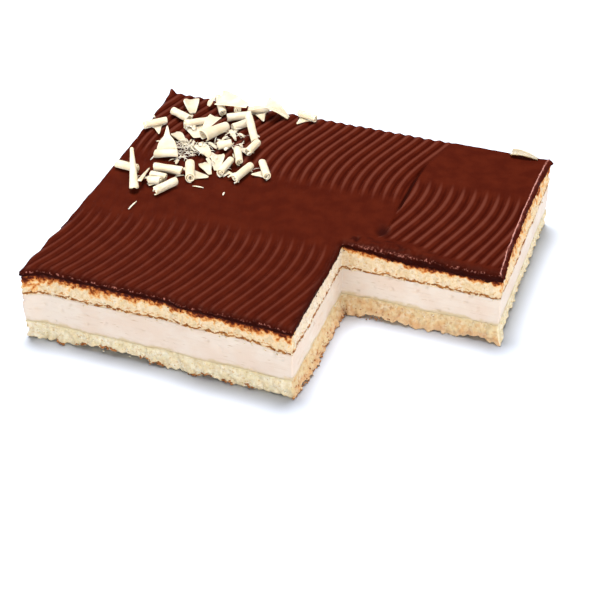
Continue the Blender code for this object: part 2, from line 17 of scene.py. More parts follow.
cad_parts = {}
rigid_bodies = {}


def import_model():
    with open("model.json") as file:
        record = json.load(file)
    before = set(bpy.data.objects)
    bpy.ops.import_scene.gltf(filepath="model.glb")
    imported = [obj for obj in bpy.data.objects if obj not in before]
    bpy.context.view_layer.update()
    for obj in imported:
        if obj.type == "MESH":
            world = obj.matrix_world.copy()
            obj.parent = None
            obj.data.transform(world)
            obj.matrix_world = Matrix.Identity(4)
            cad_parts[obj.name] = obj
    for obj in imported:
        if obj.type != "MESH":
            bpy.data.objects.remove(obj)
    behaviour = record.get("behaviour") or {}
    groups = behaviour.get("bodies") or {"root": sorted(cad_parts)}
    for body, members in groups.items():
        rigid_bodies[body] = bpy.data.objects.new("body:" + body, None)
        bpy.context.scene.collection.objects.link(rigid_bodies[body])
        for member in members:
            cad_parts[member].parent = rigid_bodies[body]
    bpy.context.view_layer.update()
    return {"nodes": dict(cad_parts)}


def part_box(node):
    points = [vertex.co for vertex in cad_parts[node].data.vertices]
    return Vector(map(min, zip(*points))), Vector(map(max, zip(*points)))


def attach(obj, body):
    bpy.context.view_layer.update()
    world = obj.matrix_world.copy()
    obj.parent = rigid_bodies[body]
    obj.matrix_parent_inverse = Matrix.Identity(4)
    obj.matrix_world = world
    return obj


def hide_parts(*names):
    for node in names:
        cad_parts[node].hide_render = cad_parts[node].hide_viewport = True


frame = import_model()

# %% [markdown]
# ## The sizes that the cake was baked and cut to
# All lengths are real ones, in metres, with MM for millimetres. The plan is a rectangle with a corner out
# of it, and it is written once as its six corners: the walls, the layers and the icing are all worked out
# from them. A list of corners is enough because every cut is a straight knife cut; the unevenness comes
# later.

# %% Plan and heights
MM = 0.001
LENGTH = 240 * MM
WIDTH = 199 * MM
CUT_X = LENGTH / 2 - 88.2 * MM
CUT_Y = 79.9 * MM - WIDTH / 2
BASE_TOP = 11.3 * MM
CREAM_TOP = 28.2 * MM
SPONGE_TOP = 41.3 * MM
ICING_TOP = 45.3 * MM

LEFT, RIGHT, FRONT, BACK = -LENGTH / 2, LENGTH / 2, -WIDTH / 2, WIDTH / 2
CORNERS = [Vector(corner) for corner in
           ((LEFT, FRONT), (CUT_X, FRONT), (CUT_X, CUT_Y), (RIGHT, CUT_Y), (RIGHT, BACK), (LEFT, BACK))]
WALLS = ("front", "cut left", "cut back", "right", "back", "left")


def wall_ends(wall):
    """The start and the end of a wall, going round anticlockwise."""
    index = WALLS.index(wall)
    return CORNERS[index], CORNERS[(index + 1) % len(CORNERS)]


def wall_length(wall):
    start, end = wall_ends(wall)
    return (end - start).length


def wall_facing(wall):
    """The direction out of a wall."""
    start, end = wall_ends(wall)
    along = (end - start).normalized()
    return Vector((along.y, -along.x))


for wall in WALLS:
    print(f"{wall} wall: {wall_length(wall) / MM:.1f} mm, facing {tuple(wall_facing(wall))}")

# %% [markdown]
# ## The camera
# The photograph was taken from in front and to the right, looking down at about 37 degrees with a long
# lens. The cake's own right angles gave the lens and the place: two pairs of parallel edges fix the
# directions, and the known lengths fix the distance. The aim is a point on the board, and two small shifts
# put the cake in the frame.

# %% Camera
CAMERA_LENS = 90.1
CAMERA_SENSOR = 36
CAMERA_TURN = math.radians(-19.55)
CAMERA_DOWN = math.radians(37.41)
CAMERA_AIM = Vector((0, -15.5 * MM, 0))
CAMERA_DISTANCE = 844.3 * MM
CAMERA_SIDEWAYS = 5.86 * MM
CAMERA_UPWARD = -3.89 * MM

ahead = Vector((math.sin(CAMERA_TURN) * math.cos(CAMERA_DOWN), math.cos(CAMERA_TURN) * math.cos(CAMERA_DOWN),
                -math.sin(CAMERA_DOWN)))
rightward = Vector((math.cos(CAMERA_TURN), -math.sin(CAMERA_TURN), 0))
upward = rightward.cross(ahead)
eye = CAMERA_AIM - ahead * CAMERA_DISTANCE + rightward * CAMERA_SIDEWAYS + upward * CAMERA_UPWARD

camera_data = bpy.data.cameras.new("camera")
camera_data.lens = CAMERA_LENS
camera_data.sensor_width = CAMERA_SENSOR
camera = bpy.data.objects.new("camera", camera_data)
bpy.context.scene.collection.objects.link(camera)
camera.matrix_world = Matrix.Translation(eye) @ Matrix((rightward, upward, -ahead)).transposed().to_4x4()
bpy.context.scene.camera = camera
print("camera at", tuple(round(value, 3) for value in eye))

# %% [markdown]
# ## Light and board
# It is a packshot: a white board, a white room, and soft light from above that leaves only a narrow grey
# shadow. Large area lamps give such light. The key hangs almost overhead, a little to the left and behind.
# A low strip, behind and to the left, rakes over the icing and lights one side of each ridge. Weaker fills
# in front and at the right open the cut walls. A photographer shades things with cards, and here light
# linking does it: the strip and the fills don't light the board. The strip would burn the curls out, so it
# doesn't light them either, and one more lamp lights the curls and the shreds alone. All but the key are
# hidden from glossy rays, so that they leave no glints. The lamps are so bright that the board burns out
# to white, as in the photograph; STUDIO_GAIN says how bright, and the food's paints allow for it.


# %% Lamps
STUDIO_GAIN = 1.45
ROOM_STRENGTH = 0.13
CAKE_MIDDLE = (0, 0, 0.02)
HEAP_MIDDLE = (-0.07, 0.04, 0.045)


def softbox(name, place, aim, width, height, watts):
    """A rectangular area lamp at a place, turned to shine at its aim."""
    lamp = bpy.data.lights.new(name, "AREA")
    lamp.shape = "RECTANGLE"
    lamp.size = width
    lamp.size_y = height
    lamp.energy = watts * STUDIO_GAIN
    obj = bpy.data.objects.new(name, lamp)
    obj.location = place
    obj.rotation_euler = (Vector(aim) - Vector(place)).to_track_quat("-Z", "Y").to_euler()
    bpy.context.scene.collection.objects.link(obj)
    return obj


softbox("key", (-0.14, 0.20, 1.06), (0, 0, 0), width=0.6, height=0.5, watts=15.6)
strip = softbox("back_strip", (-0.9, 0.75, 0.42), (0, 0, 0.04), width=0.5, height=0.2, watts=4.4)
fills = [softbox("front_fill", (-0.1, -1.2, 0.5), CAKE_MIDDLE, width=1.0, height=0.5, watts=6.2),
         softbox("front_right_fill", (0.85, -0.85, 0.45), CAKE_MIDDLE, width=0.6, height=0.5, watts=7.2),
         softbox("right_fill", (1.2, 0.1, 0.4), CAKE_MIDDLE, width=0.6, height=0.5, watts=5.2)]
curl_lamp = softbox("curl_card", (-0.35, -0.8, 0.35), HEAP_MIDDLE, width=0.4, height=0.3, watts=10.0)
curl_lamp.light_linking.receiver_collection = bpy.data.collections.new("lit_by_the_card")
for lamp in (strip, curl_lamp, *fills):
    lamp.visible_glossy = False


# %% Room and board
BOARD_SIZE = 6.0
BOARD_GAP = 0.1 * MM


def shade(lamps, *things):
    """Keeps the light of some lamps off some things, as a card would."""
    for lamp in lamps:
        if not lamp.light_linking.receiver_collection:
            lamp.light_linking.receiver_collection = bpy.data.collections.new("shaded_from_" + lamp.name)
        shaded = lamp.light_linking.receiver_collection
        for thing in things:
            shaded.objects.link(thing)
            shaded.collection_objects[-1].light_linking.link_state = "EXCLUDE"


room = bpy.data.worlds.new("room")
bpy.context.scene.world = room
room.use_nodes = True
room_light = room.node_tree.nodes["Background"].inputs
room_light["Color"].default_value = (1, 1, 1, 1)
room_light["Strength"].default_value = ROOM_STRENGTH * STUDIO_GAIN
bpy.context.scene.view_settings.view_transform = "Standard"

board_shape = bmesh.new()
bmesh.ops.create_grid(board_shape, x_segments=1, y_segments=1, size=BOARD_SIZE / 2)
board_mesh = bpy.data.meshes.new("board")
board_shape.to_mesh(board_mesh)
board_shape.free()
board = bpy.data.objects.new("board", board_mesh)
board.location.z = -BOARD_GAP
bpy.context.scene.collection.objects.link(board)
shade([strip, *fills], board)
print("board:", BOARD_SIZE, "m across")

# %% [markdown]
# ## Tools for finishes
# Each finish is a node material. Food has no flat colour anywhere, so every finish mixes two or more
# colours by noise of a real size, and the food's finishes add relief by Bump. The colours are read on a
# colour picker, from 0 to 255, turned to the linear values that a shader takes, and divided by the studio's
# gain. A small class keeps the node work short: add() makes a node and joins what is passed to it, whether
# that is a plain number or the socket of another node. A finish is then written as a cook would make it:
# colour() is the ground, and lay() puts one colour after another over it, each only where and as thickly
# as its share says.


# %% Colour and node tools
def paint(red, green, blue, gain=STUDIO_GAIN):
    """The paint that looks like a picked colour, from 0 to 255, in the studio's light."""
    def linear(value):
        value /= 255
        return (value / 12.92 if value <= 0.04045 else ((value + 0.055) / 1.055) ** 2.4) / gain
    return linear(red), linear(green), linear(blue), 1.0


class Finish:
    """A material in the making. Sizes are in metres, measured in the cake's own frame."""

    def __init__(self, name, roughness, gloss=0.5):
        self.material = bpy.data.materials.new(name)
        self.material.use_nodes = True
        self.tree = self.material.node_tree
        self.shader = self.tree.nodes["Principled BSDF"]
        self.shader.inputs["Roughness"].default_value = roughness
        self.shader.inputs["Specular IOR Level"].default_value = gloss
        self.place = self.add("TexCoord").outputs["Object"]

    def add(self, kind, sockets=None, **settings):
        made = self.tree.nodes.new("ShaderNode" + kind)
        for name, value in settings.items():
            setattr(made, name, value)
        for name, value in (sockets or {}).items():
            self.join(value, made.inputs[name])
        return made

    def join(self, value, socket):
        if isinstance(value, bpy.types.NodeSocket):
            self.tree.links.new(value, socket)
        else:
            socket.default_value = value

    def mark(self, name):
        """A number that the mesh carries at each of its points."""
        return self.add("Attribute", attribute_name=name).outputs["Fac"]

    def speckle(self, size, detail=3.0, stretch=(1, 1, 1), shift=0.0, twist=0.0):
        """Noise from 0 to 1 with lumps of a size, longer along an axis whose stretch is under 1."""
        moved = (shift, shift, shift)
        place = self.add("Mapping", {"Vector": self.place, "Scale": stretch, "Location": moved})
        made = self.add("TexNoise", {"Vector": place.outputs["Vector"], "Scale": 1 / size, "Detail": detail,
                                     "Distortion": twist})
        return made.outputs["Fac"]

    def math(self, operation, first, second=0.0):
        made = self.add("Math", {0: first, 1: second}, operation=operation)
        return made.outputs["Value"]

    def plus(self, first, second):
        return self.math("ADD", first, second)

    def times(self, first, second):
        return self.math("MULTIPLY", first, second)

    def share(self, value, start, end, low=0.0, high=1.0):
        """Maps a value smoothly: low at start, high at end."""
        made = self.add("MapRange", {"Value": value, "From Min": start, "From Max": end, "To Min": low,
                                     "To Max": high}, interpolation_type="SMOOTHSTEP")
        return made.outputs["Result"]

    def blots(self, size, start, end, low=0.0, high=1.0, **kind):
        """Noise with lumps of a size, mapped as share() does, so that it turns to blots with soft edges."""
        return self.share(self.speckle(size, **kind), start, end, low, high)

    def mix(self, share, first, second):
        made = self.add("Mix", {0: share, 6: first, 7: second}, data_type="RGBA")
        return made.outputs[2]

    def ramp(self, value, stops):
        """A colour that runs through the stops as a value goes from 0 to 1."""
        made = self.add("ValToRGB", {"Fac": value})
        band = made.color_ramp
        while len(band.elements) < len(stops):
            band.elements.new(1.0)
        for element, (position, colour) in zip(band.elements, stops):
            element.position = position
            element.color = colour
        return made.outputs["Color"]

    def relief(self, *layers):
        """Bump from several heights, each given as its value and its depth in metres."""
        normal = None
        for height, depth in layers:
            sockets = {"Height": height, "Distance": depth, "Strength": 1.0}
            if normal:
                sockets["Normal"] = normal
            normal = self.add("Bump", sockets).outputs["Normal"]
        self.join(normal, self.shader.inputs["Normal"])

    def soft(self, weight, depth, radius):
        """Light that goes into the food and comes out again nearby."""
        self.shader.inputs["Subsurface Weight"].default_value = weight
        self.shader.inputs["Subsurface Scale"].default_value = depth
        self.shader.inputs["Subsurface Radius"].default_value = radius

    def colour(self, value):
        """The ground that other colours are laid over."""
        self.tone = value
        self.join(value, self.shader.inputs["Base Color"])

    def lay(self, share, colour):
        """Lays a colour over what is there, as thickly as a share from 0 to 1."""
        self.colour(self.mix(share, self.tone, colour))


white_board = Finish("white_board", roughness=0.85, gloss=0.2)
white_board.colour(paint(225, 232, 245, gain=1))
white_board.lay(white_board.speckle(0.3), paint(223, 230, 244, gain=1))
board.data.materials.append(white_board.material)
print("finish:", white_board.material.name)

# %% [markdown]
# ## Tools for surfaces
# A baked surface is a sheet of many small faces that follows a formula. Sculpting could make it too, but a
# formula gives the same crumb each time and can be read. sheet() makes a grid and asks a function where
# each point goes, and weld() joins what meets. A point may also carry marks, plain numbers such as its
# height over a seam, which the finishes use to put the toasted crust and the brown lines where they belong.


# %% Sheets and pieces
WELD = 0.01 * MM


def sheet(shape, columns, rows, place, marks=()):
    """Adds a grid to a shape. place(column, row) gives each point and its marks, or None where nothing is."""
    layers = [shape.verts.layers.float.get(mark) or shape.verts.layers.float.new(mark) for mark in marks]
    grid = bmesh.ops.create_grid(shape, x_segments=columns - 1, y_segments=rows - 1, size=0.5)["verts"]
    nowhere = []
    for vert in grid:
        column = round((vert.co.x + 0.5) * (columns - 1))
        row = round((vert.co.y + 0.5) * (rows - 1))
        spot = place(column, row)
        if spot is None:
            nowhere.append(vert)
            continue
        vert.co = spot[0]
        for layer, value in zip(layers, spot[1:]):
            vert[layer] = value
    bmesh.ops.delete(shape, geom=nowhere, context="VERTS")


def weld(shape, fill=False):
    """Joins the points that meet, and closes what is still open where it is asked to."""
    bmesh.ops.remove_doubles(shape, verts=shape.verts, dist=WELD)
    if fill:
        bmesh.ops.holes_fill(shape, edges=[edge for edge in shape.edges if edge.is_boundary])
        bmesh.ops.recalc_face_normals(shape, faces=shape.faces)


def new_piece(name, shape, finish, stands_for=()):
    """An object from a shape, in its finish, that rides with the cake and stands for solids of the frame."""
    mesh = bpy.data.meshes.new(name)
    shape.to_mesh(mesh)
    shape.free()
    mesh.shade_smooth()
    mesh.materials.append(finish.material)
    piece = bpy.data.objects.new(name, mesh)
    bpy.context.scene.collection.objects.link(piece)
    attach(piece, "root")
    if stands_for:
        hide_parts(*stands_for)
    print(f"{name}: {len(mesh.vertices)} points, {len(mesh.polygons)} faces")
    return piece


def eased(start, end, value):
    """0 before the start, 1 past the end, and a soft step between them."""
    share = min(max((value - start) / (end - start), 0), 1)
    return share * share * (3 - 2 * share)


def faded(start, end, value):
    """1 before the start, 0 past the end, and a soft step between them."""
    return 1 - eased(start, end, value)


def lumps(place, size, seed=(0, 0, 0)):
    """Smooth noise from -1 to 1, in three dimensions, whose lumps are about a size across."""
    return noise.noise(Vector(place) / size + Vector(seed))


def ripple(x, y, size, seed):
    """The same noise over the plan alone, equal at every height."""
    return noise.noise(Vector((x / size, y / size, seed)))


print("a lump near the origin:", round(lumps((1 * MM, 2 * MM, 3 * MM), 5 * MM), 3))

# %% [markdown]
# ## How the walls wander
# No cut through a cake is flat. The crumb gives way, so the wall has shallow crags; the left and right
# walls bow in between their corners and the front one leans back; the seams between the layers rise and
# fall; and the lower rim is torn where the cake was lifted. The solids have the same unevenness in coarse
# steps. The formulas here are the same ones, so that the fine surface lies on the solid, and finer crumb
# comes on top of them.


# %% Crags, bows and leans
RIM_BAND = 5 * MM
BEND_REACH = 20 * MM
LEFT_BOW = 3.2 * MM
RIGHT_BOW = 2.2 * MM
FRONT_LEAN = 4.2 * MM


def crag(place):
    """The coarse unevenness of a cut wall, from about -1 to 1."""
    return 0.6 * lumps(place, 14 * MM) + 0.7 * lumps(place, 6 * MM, (7, 3, 1))


def bow(spot):
    """The shift in x of the left wall and the right one's upper part, which bow in between corners."""
    left = faded(0, BEND_REACH, spot.x - LEFT)
    right = faded(0, BEND_REACH, RIGHT - spot.x) * eased(CREAM_TOP, SPONGE_TOP, spot.z)
    across = (spot.y - (CUT_Y + BACK) / 2) / (BACK - CUT_Y)
    inward = LEFT_BOW * left * max(0, math.cos(math.pi * spot.y / WIDTH)) ** 0.8
    return inward - RIGHT_BOW * right * max(0, math.cos(math.pi * across)) ** 0.5


def lean_back(spot):
    """How far the front wall leans back: most at its top and over its left half."""
    near = faded(0, BEND_REACH, spot.y - FRONT)
    height = 0.25 + 0.75 * eased(0, ICING_TOP, spot.z)
    along = eased(LEFT, LEFT + 12 * MM, spot.x) * faded(5 * MM, 31 * MM, spot.x)
    along *= 1 - 0.7 * eased(-45 * MM, -20 * MM, spot.x)
    return FRONT_LEAN * near * height * along


def set_in(spot):
    return spot + Vector((bow(spot), lean_back(spot), 0))


print("the left wall's middle is set in by", round(bow(Vector((LEFT, 0, 0))) / MM, 1), "mm")


# %% The torn rim and the seams
RIM_TEAR = 3 * MM
LONG_TEAR = (-88 * MM, -50 * MM)


def waver(place, seed):
    return ripple(place.x, place.y, 22 * MM, seed)


def torn(place):
    """How far the lower rim is torn up from the board, most of all in one long tear in front."""
    ragged = max(0, ripple(place.x, place.y, 13 * MM, 4.0) + 0.05)
    front = faded(2.5 * MM, 9.5 * MM, place.y - FRONT)
    start, end = (eased(-4 * MM, 4 * MM, place.x - tear) for tear in LONG_TEAR)
    whole = min(eased(5 * MM, 14 * MM, (place.xy - corner).length) for corner in CORNERS[1:3])
    return RIM_TEAR * whole * min(1, 1.6 * ragged + front * start * (1 - end))


def icing_edge(place):
    """Along the cut's back wall the icing is thin at the inner corner and hangs lower to the right."""
    on_wall = faded(0.3 * MM, 8 * MM, abs(place.y - CUT_Y))
    past_corner = eased(-4 * MM, 0, place.x - CUT_X)
    slump = 1.3 * MM - 3 * MM * eased(0, 40 * MM, place.x - CUT_X)
    return slump * on_wall * past_corner


def base_seam(place):
    return BASE_TOP + 0.8 * MM * waver(place, 1.0)


def cream_seam(place):
    """The cream reaches higher up the front wall, above all in its middle."""
    on_front = faded(0.3 * MM, 3 * MM, place.y - FRONT)
    rise = (0.9 + 1.5 * eased(-55 * MM, -30 * MM, place.x)) * faded(8 * MM, 28 * MM, place.x)
    return CREAM_TOP + (0.8 * waver(place, 2.0) + rise * on_front) * MM


def icing_seam(place):
    """The icing is a little thinner along the right wall."""
    thinner = 0.9 * MM * faded(0.3 * MM, 3 * MM, RIGHT - place.x)
    return SPONGE_TOP + 0.4 * MM * waver(place, 3.0) + icing_edge(place) + thinner


print("the base seam at the front left corner is", round(base_seam(CORNERS[0]) / MM, 2), "mm up")


# %% The pressed foot
FLARE_HEIGHT = 9 * MM
FOOT_FLARE = {"cut left": 3.4 * MM, "cut back": 4.5 * MM, "right": 2.0 * MM}


def foot_flare(wall, place, height):
    """How far the moist crumb at the foot was pressed outwards, most of all at the cut's inner corner."""
    if wall not in FOOT_FLARE:
        return 0
    along = {"cut left": eased(FRONT - 20 * MM, FRONT + 25 * MM, place.y),
             "cut back": 1 - 0.5 * eased(CUT_X + 20 * MM, CUT_X + 60 * MM, place.x),
             "right": faded(CUT_Y, CUT_Y + 40 * MM, place.y)}
    return FOOT_FLARE[wall] * faded(0, FLARE_HEIGHT, height) * along[wall]


print("at the inner corner the foot stands out by", foot_flare("cut back", CORNERS[2], 0) / MM, "mm")

# %% [markdown]
# ## Points round the plan
# Every layer needs the same walk round its plan. A plain walk would fold over itself where a wall is pushed
# out or in at a corner, so near a corner a point is also moved a share of the way along its neighbour's
# direction. With a linear share the walls stay clean at the corners, and the same walk can step in from the
# rim.


# %% The walk round the plan
class WallPoint:
    """A place on the plan's edge, its wall, how far along it is, and the direction out."""

    def __init__(self, wall, along):
        start, end = wall_ends(wall)
        length = wall_length(wall)
        index = WALLS.index(wall)
        before = wall_facing(WALLS[index - 1]) * max(0, 1 - along / RIM_BAND)
        after = wall_facing(WALLS[(index + 1) % len(WALLS)]) * max(0, 1 - (length - along) / RIM_BAND)
        self.wall = wall
        self.along = along
        self.place = start + (end - start) * (along / length)
        self.out = wall_facing(wall) + before + after

    def moved(self, outward, height):
        """The point pushed out of its wall by a distance, at a height."""
        spot = self.place + self.out * outward
        return set_in(Vector((spot.x, spot.y, height)))


def walk(step):
    """Points round the whole plan about a step apart. The last is the first again."""
    points = []
    for wall in WALLS:
        length = wall_length(wall)
        count = round(length / step)
        points += [WallPoint(wall, length * index / count) for index in range(count)]
    return points + points[:1]


print("points a millimetre apart round the plan:", len(walk(1 * MM)))

# %% [markdown]
# ## The layers' walls
# A layer is a band of rings round the plan, from its lower seam to its upper one, with a step in from the
# rim below and above so that it is closed. The crumb's relief pushes each point in or out. The marks say
# how far a point is over the seam below and under the seam above, in millimetres, which is all that the
# finishes need to toast a crust or draw a line. A third mark, toast, is the layer's own.


# %% A layer from its seams and its relief
GRAIN = 0.6 * MM


def layer(low_seam, high_seam, flat_low, flat_high, relief, marks):
    """A closed slab between two seams. relief() is how far its wall stands out, and marks() its marks."""
    points = walk(GRAIN)
    rings = round((flat_high - flat_low) / GRAIN)

    def place(column, row):
        point = points[column]
        if row in (0, rings + 2):
            return point.moved(-RIM_BAND, flat_low if row == 0 else flat_high), 0, 0, 0
        share = (row - 1) / rings
        low, high = low_seam(point.place), high_seam(point.place)
        height = low + share * (high - low)
        spot = Vector((point.place.x, point.place.y, height))
        values = marks(point, (spot.z - low) / MM, (high - spot.z) / MM)
        return point.moved(relief(point, spot, share), height), *values

    shape = bmesh.new()
    sheet(shape, len(points), rings + 3, place, ("over", "under", "toast"))
    weld(shape, fill=True)
    return shape


print("rings in the cream's wall:", round((CREAM_TOP - BASE_TOP) / GRAIN))

# %% [markdown]
# ## Sponge crumb
# Sponge is a foam: bubbles cut open by the knife, and small torn flakes between them. Two sizes of noise
# make the flakes, and a third, cut off below a threshold, digs the bubbles. The colour is pale yellow with
# darker and warmer dots of painted shade, as inside an open bubble. The light goes a little way in, so
# subsurface scattering softens it. One recipe serves both sponges, since they were baked from one batter;
# what differs is the crust that is laid over it.


# %% Crumb relief
def crumb(spot):
    """The fine relief of cut sponge, in metres: flakes out, open bubbles in."""
    flakes = 0.55 * lumps(spot, 2.8 * MM, (3, 9, 2)) + 0.22 * lumps(spot, 1.3 * MM, (5, 1, 8))
    bubbles = max(0, lumps(spot, 1.9 * MM, (2, 4, 6)) - 0.22)
    return (flakes - 1.5 * bubbles) * MM


def sponge_relief(point, spot, share):
    return 0.7 * MM * crag(spot) + crumb(spot)


print("crumb at the origin:", round(crumb(Vector((0, 0, 0))) / MM, 2), "mm")


# %% Crumb finish
PALE_SPONGE = paint(247, 237, 211)
WARM_SPONGE = paint(240, 221, 181)
CRUMB_SHADE = paint(230, 208, 170)
PAINTED_BUBBLE_SHADE = paint(216, 180, 128)
BROWN_GRAIN = paint(202, 138, 82)


def sponge_finish(name, browned):
    """The pale crumb alone, with its relief and softness. browned is how strongly its brown grains show."""
    finish = Finish(name, roughness=0.85, gloss=0.15)
    finish.colour(PALE_SPONGE)
    finish.lay(finish.blots(5 * MM, 0.35, 0.65), WARM_SPONGE)
    finish.lay(finish.blots(2.0 * MM, 0.42, 0.66, 0, 0.7, shift=0.8), CRUMB_SHADE)
    # Painted shade: darker, warmer dots, as inside open bubbles.
    finish.lay(finish.blots(1.3 * MM, 0.57, 0.72, detail=2, shift=0.3), PAINTED_BUBBLE_SHADE)
    finish.lay(finish.blots(1.6 * MM, 0.61, 0.72, 0, browned, shift=0.6), BROWN_GRAIN)
    finish.relief((finish.speckle(0.9 * MM, detail=4), 0.35 * MM), (finish.speckle(2.2 * MM), 0.8 * MM))
    finish.soft(0.12, 1.0 * MM, (1.0, 0.6, 0.3))
    return finish


print("an open bubble's paint:", [round(value, 2) for value in PAINTED_BUBBLE_SHADE])

# %% [markdown]
# ## The bottom sponge
# It carries the cake: about 11 mm thick, pale, its lower rim torn into flakes where the cake was slid onto
# the board. The rim is a seam like any other, so the torn rim is simply this layer's lower seam. The crumb
# is tan just under the cream. In the cut it is tan all over, with brown grains and a darker foot, so there
# the mark toast is 1.


# %% Bottom sponge's wall
CUT_WALLS = ("cut left", "cut back")


def base_marks(point, over, under):
    return over, under, 1 if point.wall in CUT_WALLS else 0


def base_relief(point, spot, share):
    """Crumb, pressed out at the foot of the cut and the right wall, with ragged lumps low down."""
    ragged = 1.8 * MM * lumps(spot, 3.0 * MM, (8, 8, 1)) * (1 - 0.75 * eased(0, 6 * MM, spot.z))
    return sponge_relief(point, spot, share) + foot_flare(point.wall, point.place, spot.z) + ragged


def fine_tear(place):
    """The torn rim, with small flakes between its large tears."""
    return torn(place) + 2.2 * MM * max(0, ripple(place.x, place.y, 2.2 * MM, 8.0))


base_slab = layer(fine_tear, base_seam, 0.0, BASE_TOP, base_relief, base_marks)

# %% Bottom sponge's finish
CUT_CRUMB = paint(222, 182, 130)
CUT_GRAIN = paint(172, 112, 62)
CUT_FOOT = paint(202, 136, 86)
DAMP_PATCH = paint(230, 216, 172)
SEAM_TAN_CRUMB = paint(222, 205, 158)
TORN_EDGE = paint(238, 214, 174)

base = sponge_finish("bottom_sponge_crumb", browned=0.35)
over, cut = base.mark("over"), base.mark("toast")
base.lay(base.times(cut, base.blots(2.6 * MM, 0.35, 0.65, 0.4, 1.0, detail=4, shift=0.1)), CUT_CRUMB)
base.lay(base.times(cut, base.blots(1.7 * MM, 0.54, 0.70, 0, 0.55, shift=0.9)), CUT_GRAIN)
base.lay(base.times(cut, base.share(over, 5.0, 0.5, 0, 0.6)), CUT_FOOT)
base.lay(base.blots(7 * MM, 0.42, 0.62, 0, 0.35, shift=0.4), DAMP_PATCH)
# Tan just under the cream.
base.lay(base.share(base.mark("under"), 1.8, 0.0, 0.0, 0.5), SEAM_TAN_CRUMB)
over_rim = base.plus(over, base.speckle(2.5 * MM, shift=0.7))
base.lay(base.share(over_rim, 3.0, 0.4, 0.0, 0.4), TORN_EDGE)
new_piece("bottom_sponge_crumb", base_slab, base, ["bottom_sponge"])

# %% [markdown]
# ## The hazelnut cream
# The filling is smooth and a little pink, and it swells slightly between the sponges. The knife dragged it
# sideways, so its marks are long level streaks, with a pit and a brown drag line here and there. Streaks
# are noise that is squeezed in height and stretched along the wall: because it is stretched the same way in
# x and y, it runs level on every wall.


# %% Cream's wall
PIT_THRESHOLD = 0.46
CUT_PIT_THRESHOLD = 0.36


def cream_relief(point, spot, share):
    """A slight swell with the knife's streaks. Pits are noise over a threshold, which is lower in the cut."""
    level = Vector((spot.x * 0.12, spot.y * 0.12, spot.z))
    streak = 0.16 * lumps(level, 1.1 * MM) + 0.10 * lumps(level, 0.6 * MM, (4, 4, 4))
    threshold = CUT_PIT_THRESHOLD if point.wall in CUT_WALLS else PIT_THRESHOLD
    long_lump = lumps(Vector((spot.x * 0.5, spot.y * 0.5, spot.z)), 2.4 * MM, (9, 5, 3))
    pit = max(0, long_lump - threshold)
    swell = 0.35 * 4 * share * (1 - share)
    return (0.25 * crag(spot) + swell + streak - 3.0 * pit) * MM


def cream_marks(point, over, under):
    return over, under, 0


cream_slab = layer(base_seam, cream_seam, BASE_TOP, CREAM_TOP, cream_relief, cream_marks)

# %% Cream's finish
PALE_CREAM = paint(235, 219, 202)
PINK_CREAM = paint(232, 210, 190)
STREAKED_CREAM = paint(220, 196, 174)
DRAG_LINE = paint(186, 150, 118)
SEAM_TAN_CREAM = paint(212, 188, 142)

cream = Finish("hazelnut_cream_smooth", roughness=0.5, gloss=0.35)
streaks = cream.speckle(1.6 * MM, stretch=(0.1, 0.1, 1), detail=4)
cream.colour(PALE_CREAM)
cream.lay(cream.blots(14 * MM, 0.35, 0.65, shift=0.5), PINK_CREAM)
cream.lay(cream.share(streaks, 0.56, 0.72, 0, 0.4), STREAKED_CREAM)
cream.lay(cream.blots(0.9 * MM, 0.66, 0.72, 0, 0.5, stretch=(0.15, 0.15, 1), shift=0.8), DRAG_LINE)
over_base = cream.plus(cream.mark("over"), cream.blots(6 * MM, 0.3, 0.7, -1.0, 1.0, shift=0.2))
# Tan just over the base.
cream.lay(cream.share(over_base, 2.8, 0.2, 0, 0.8), SEAM_TAN_CREAM)
cream.relief((streaks, 0.25 * MM), (cream.speckle(0.8 * MM), 0.08 * MM))
cream.soft(0.2, 1.5 * MM, (1.0, 0.7, 0.5))
new_piece("hazelnut_cream_smooth", cream_slab, cream, ["hazelnut_cream"])

# %% [markdown]
# ## The upper sponge
# Its top was the crust in the oven: dark red-brown under the icing, then orange streaks that hang down into
# the pale crumb. Its underside has a thin brown skin. The toast reaches a few millimetres in front, most of
# the way on the right wall and hardly at all on the cut's left wall. The mesh carries that reach as a mark,
# so one ramp from dark brown through orange to pale does every wall. Large noise makes its blotches and
# fine noise its grains. The skin is a line that wanders a little over the cream, with a fainter and broken
# one over it, where the batter was spread twice.


# %% How far the toast reaches
TOAST_REACH = {"front": 7.4, "cut left": 0.7, "cut back": 4.0, "right": 15.0, "back": 6.5, "left": 7.0}
DARKEST_LOST = {"right": 2.5}


def toast_reach(point):
    """How many millimetres the crust's brown hangs down from the icing."""
    reach = TOAST_REACH[point.wall]
    if point.wall == "front":
        reach += 6 * faded(0, 22 * MM, point.place.x - LEFT)
    if point.wall == "cut left":
        reach += 3 * faded(0, 8 * MM, point.along)
    return reach


def sponge_marks(point, over, under):
    """The right wall counts from further down, so that the ramp's darkest brown doesn't show there."""
    return over, under + DARKEST_LOST.get(point.wall, 0), toast_reach(point)


sponge_slab = layer(cream_seam, icing_seam, CREAM_TOP, SPONGE_TOP, sponge_relief, sponge_marks)
print("toast reaches", round(toast_reach(WallPoint("front", 0)), 1), "mm at the front left corner")

# %% Upper sponge's crumb and toast
ROSY_CRUMB = paint(240, 216, 206)
ORANGE_CRUMB = paint(240, 190, 132)
TOAST = ((0.0, paint(66, 20, 10)), (0.2, paint(108, 42, 18)), (0.4, paint(200, 112, 48)),
         (0.62, paint(242, 186, 118)), (0.95, paint(246, 226, 188)))
TINT_STRENGTH = 0.3

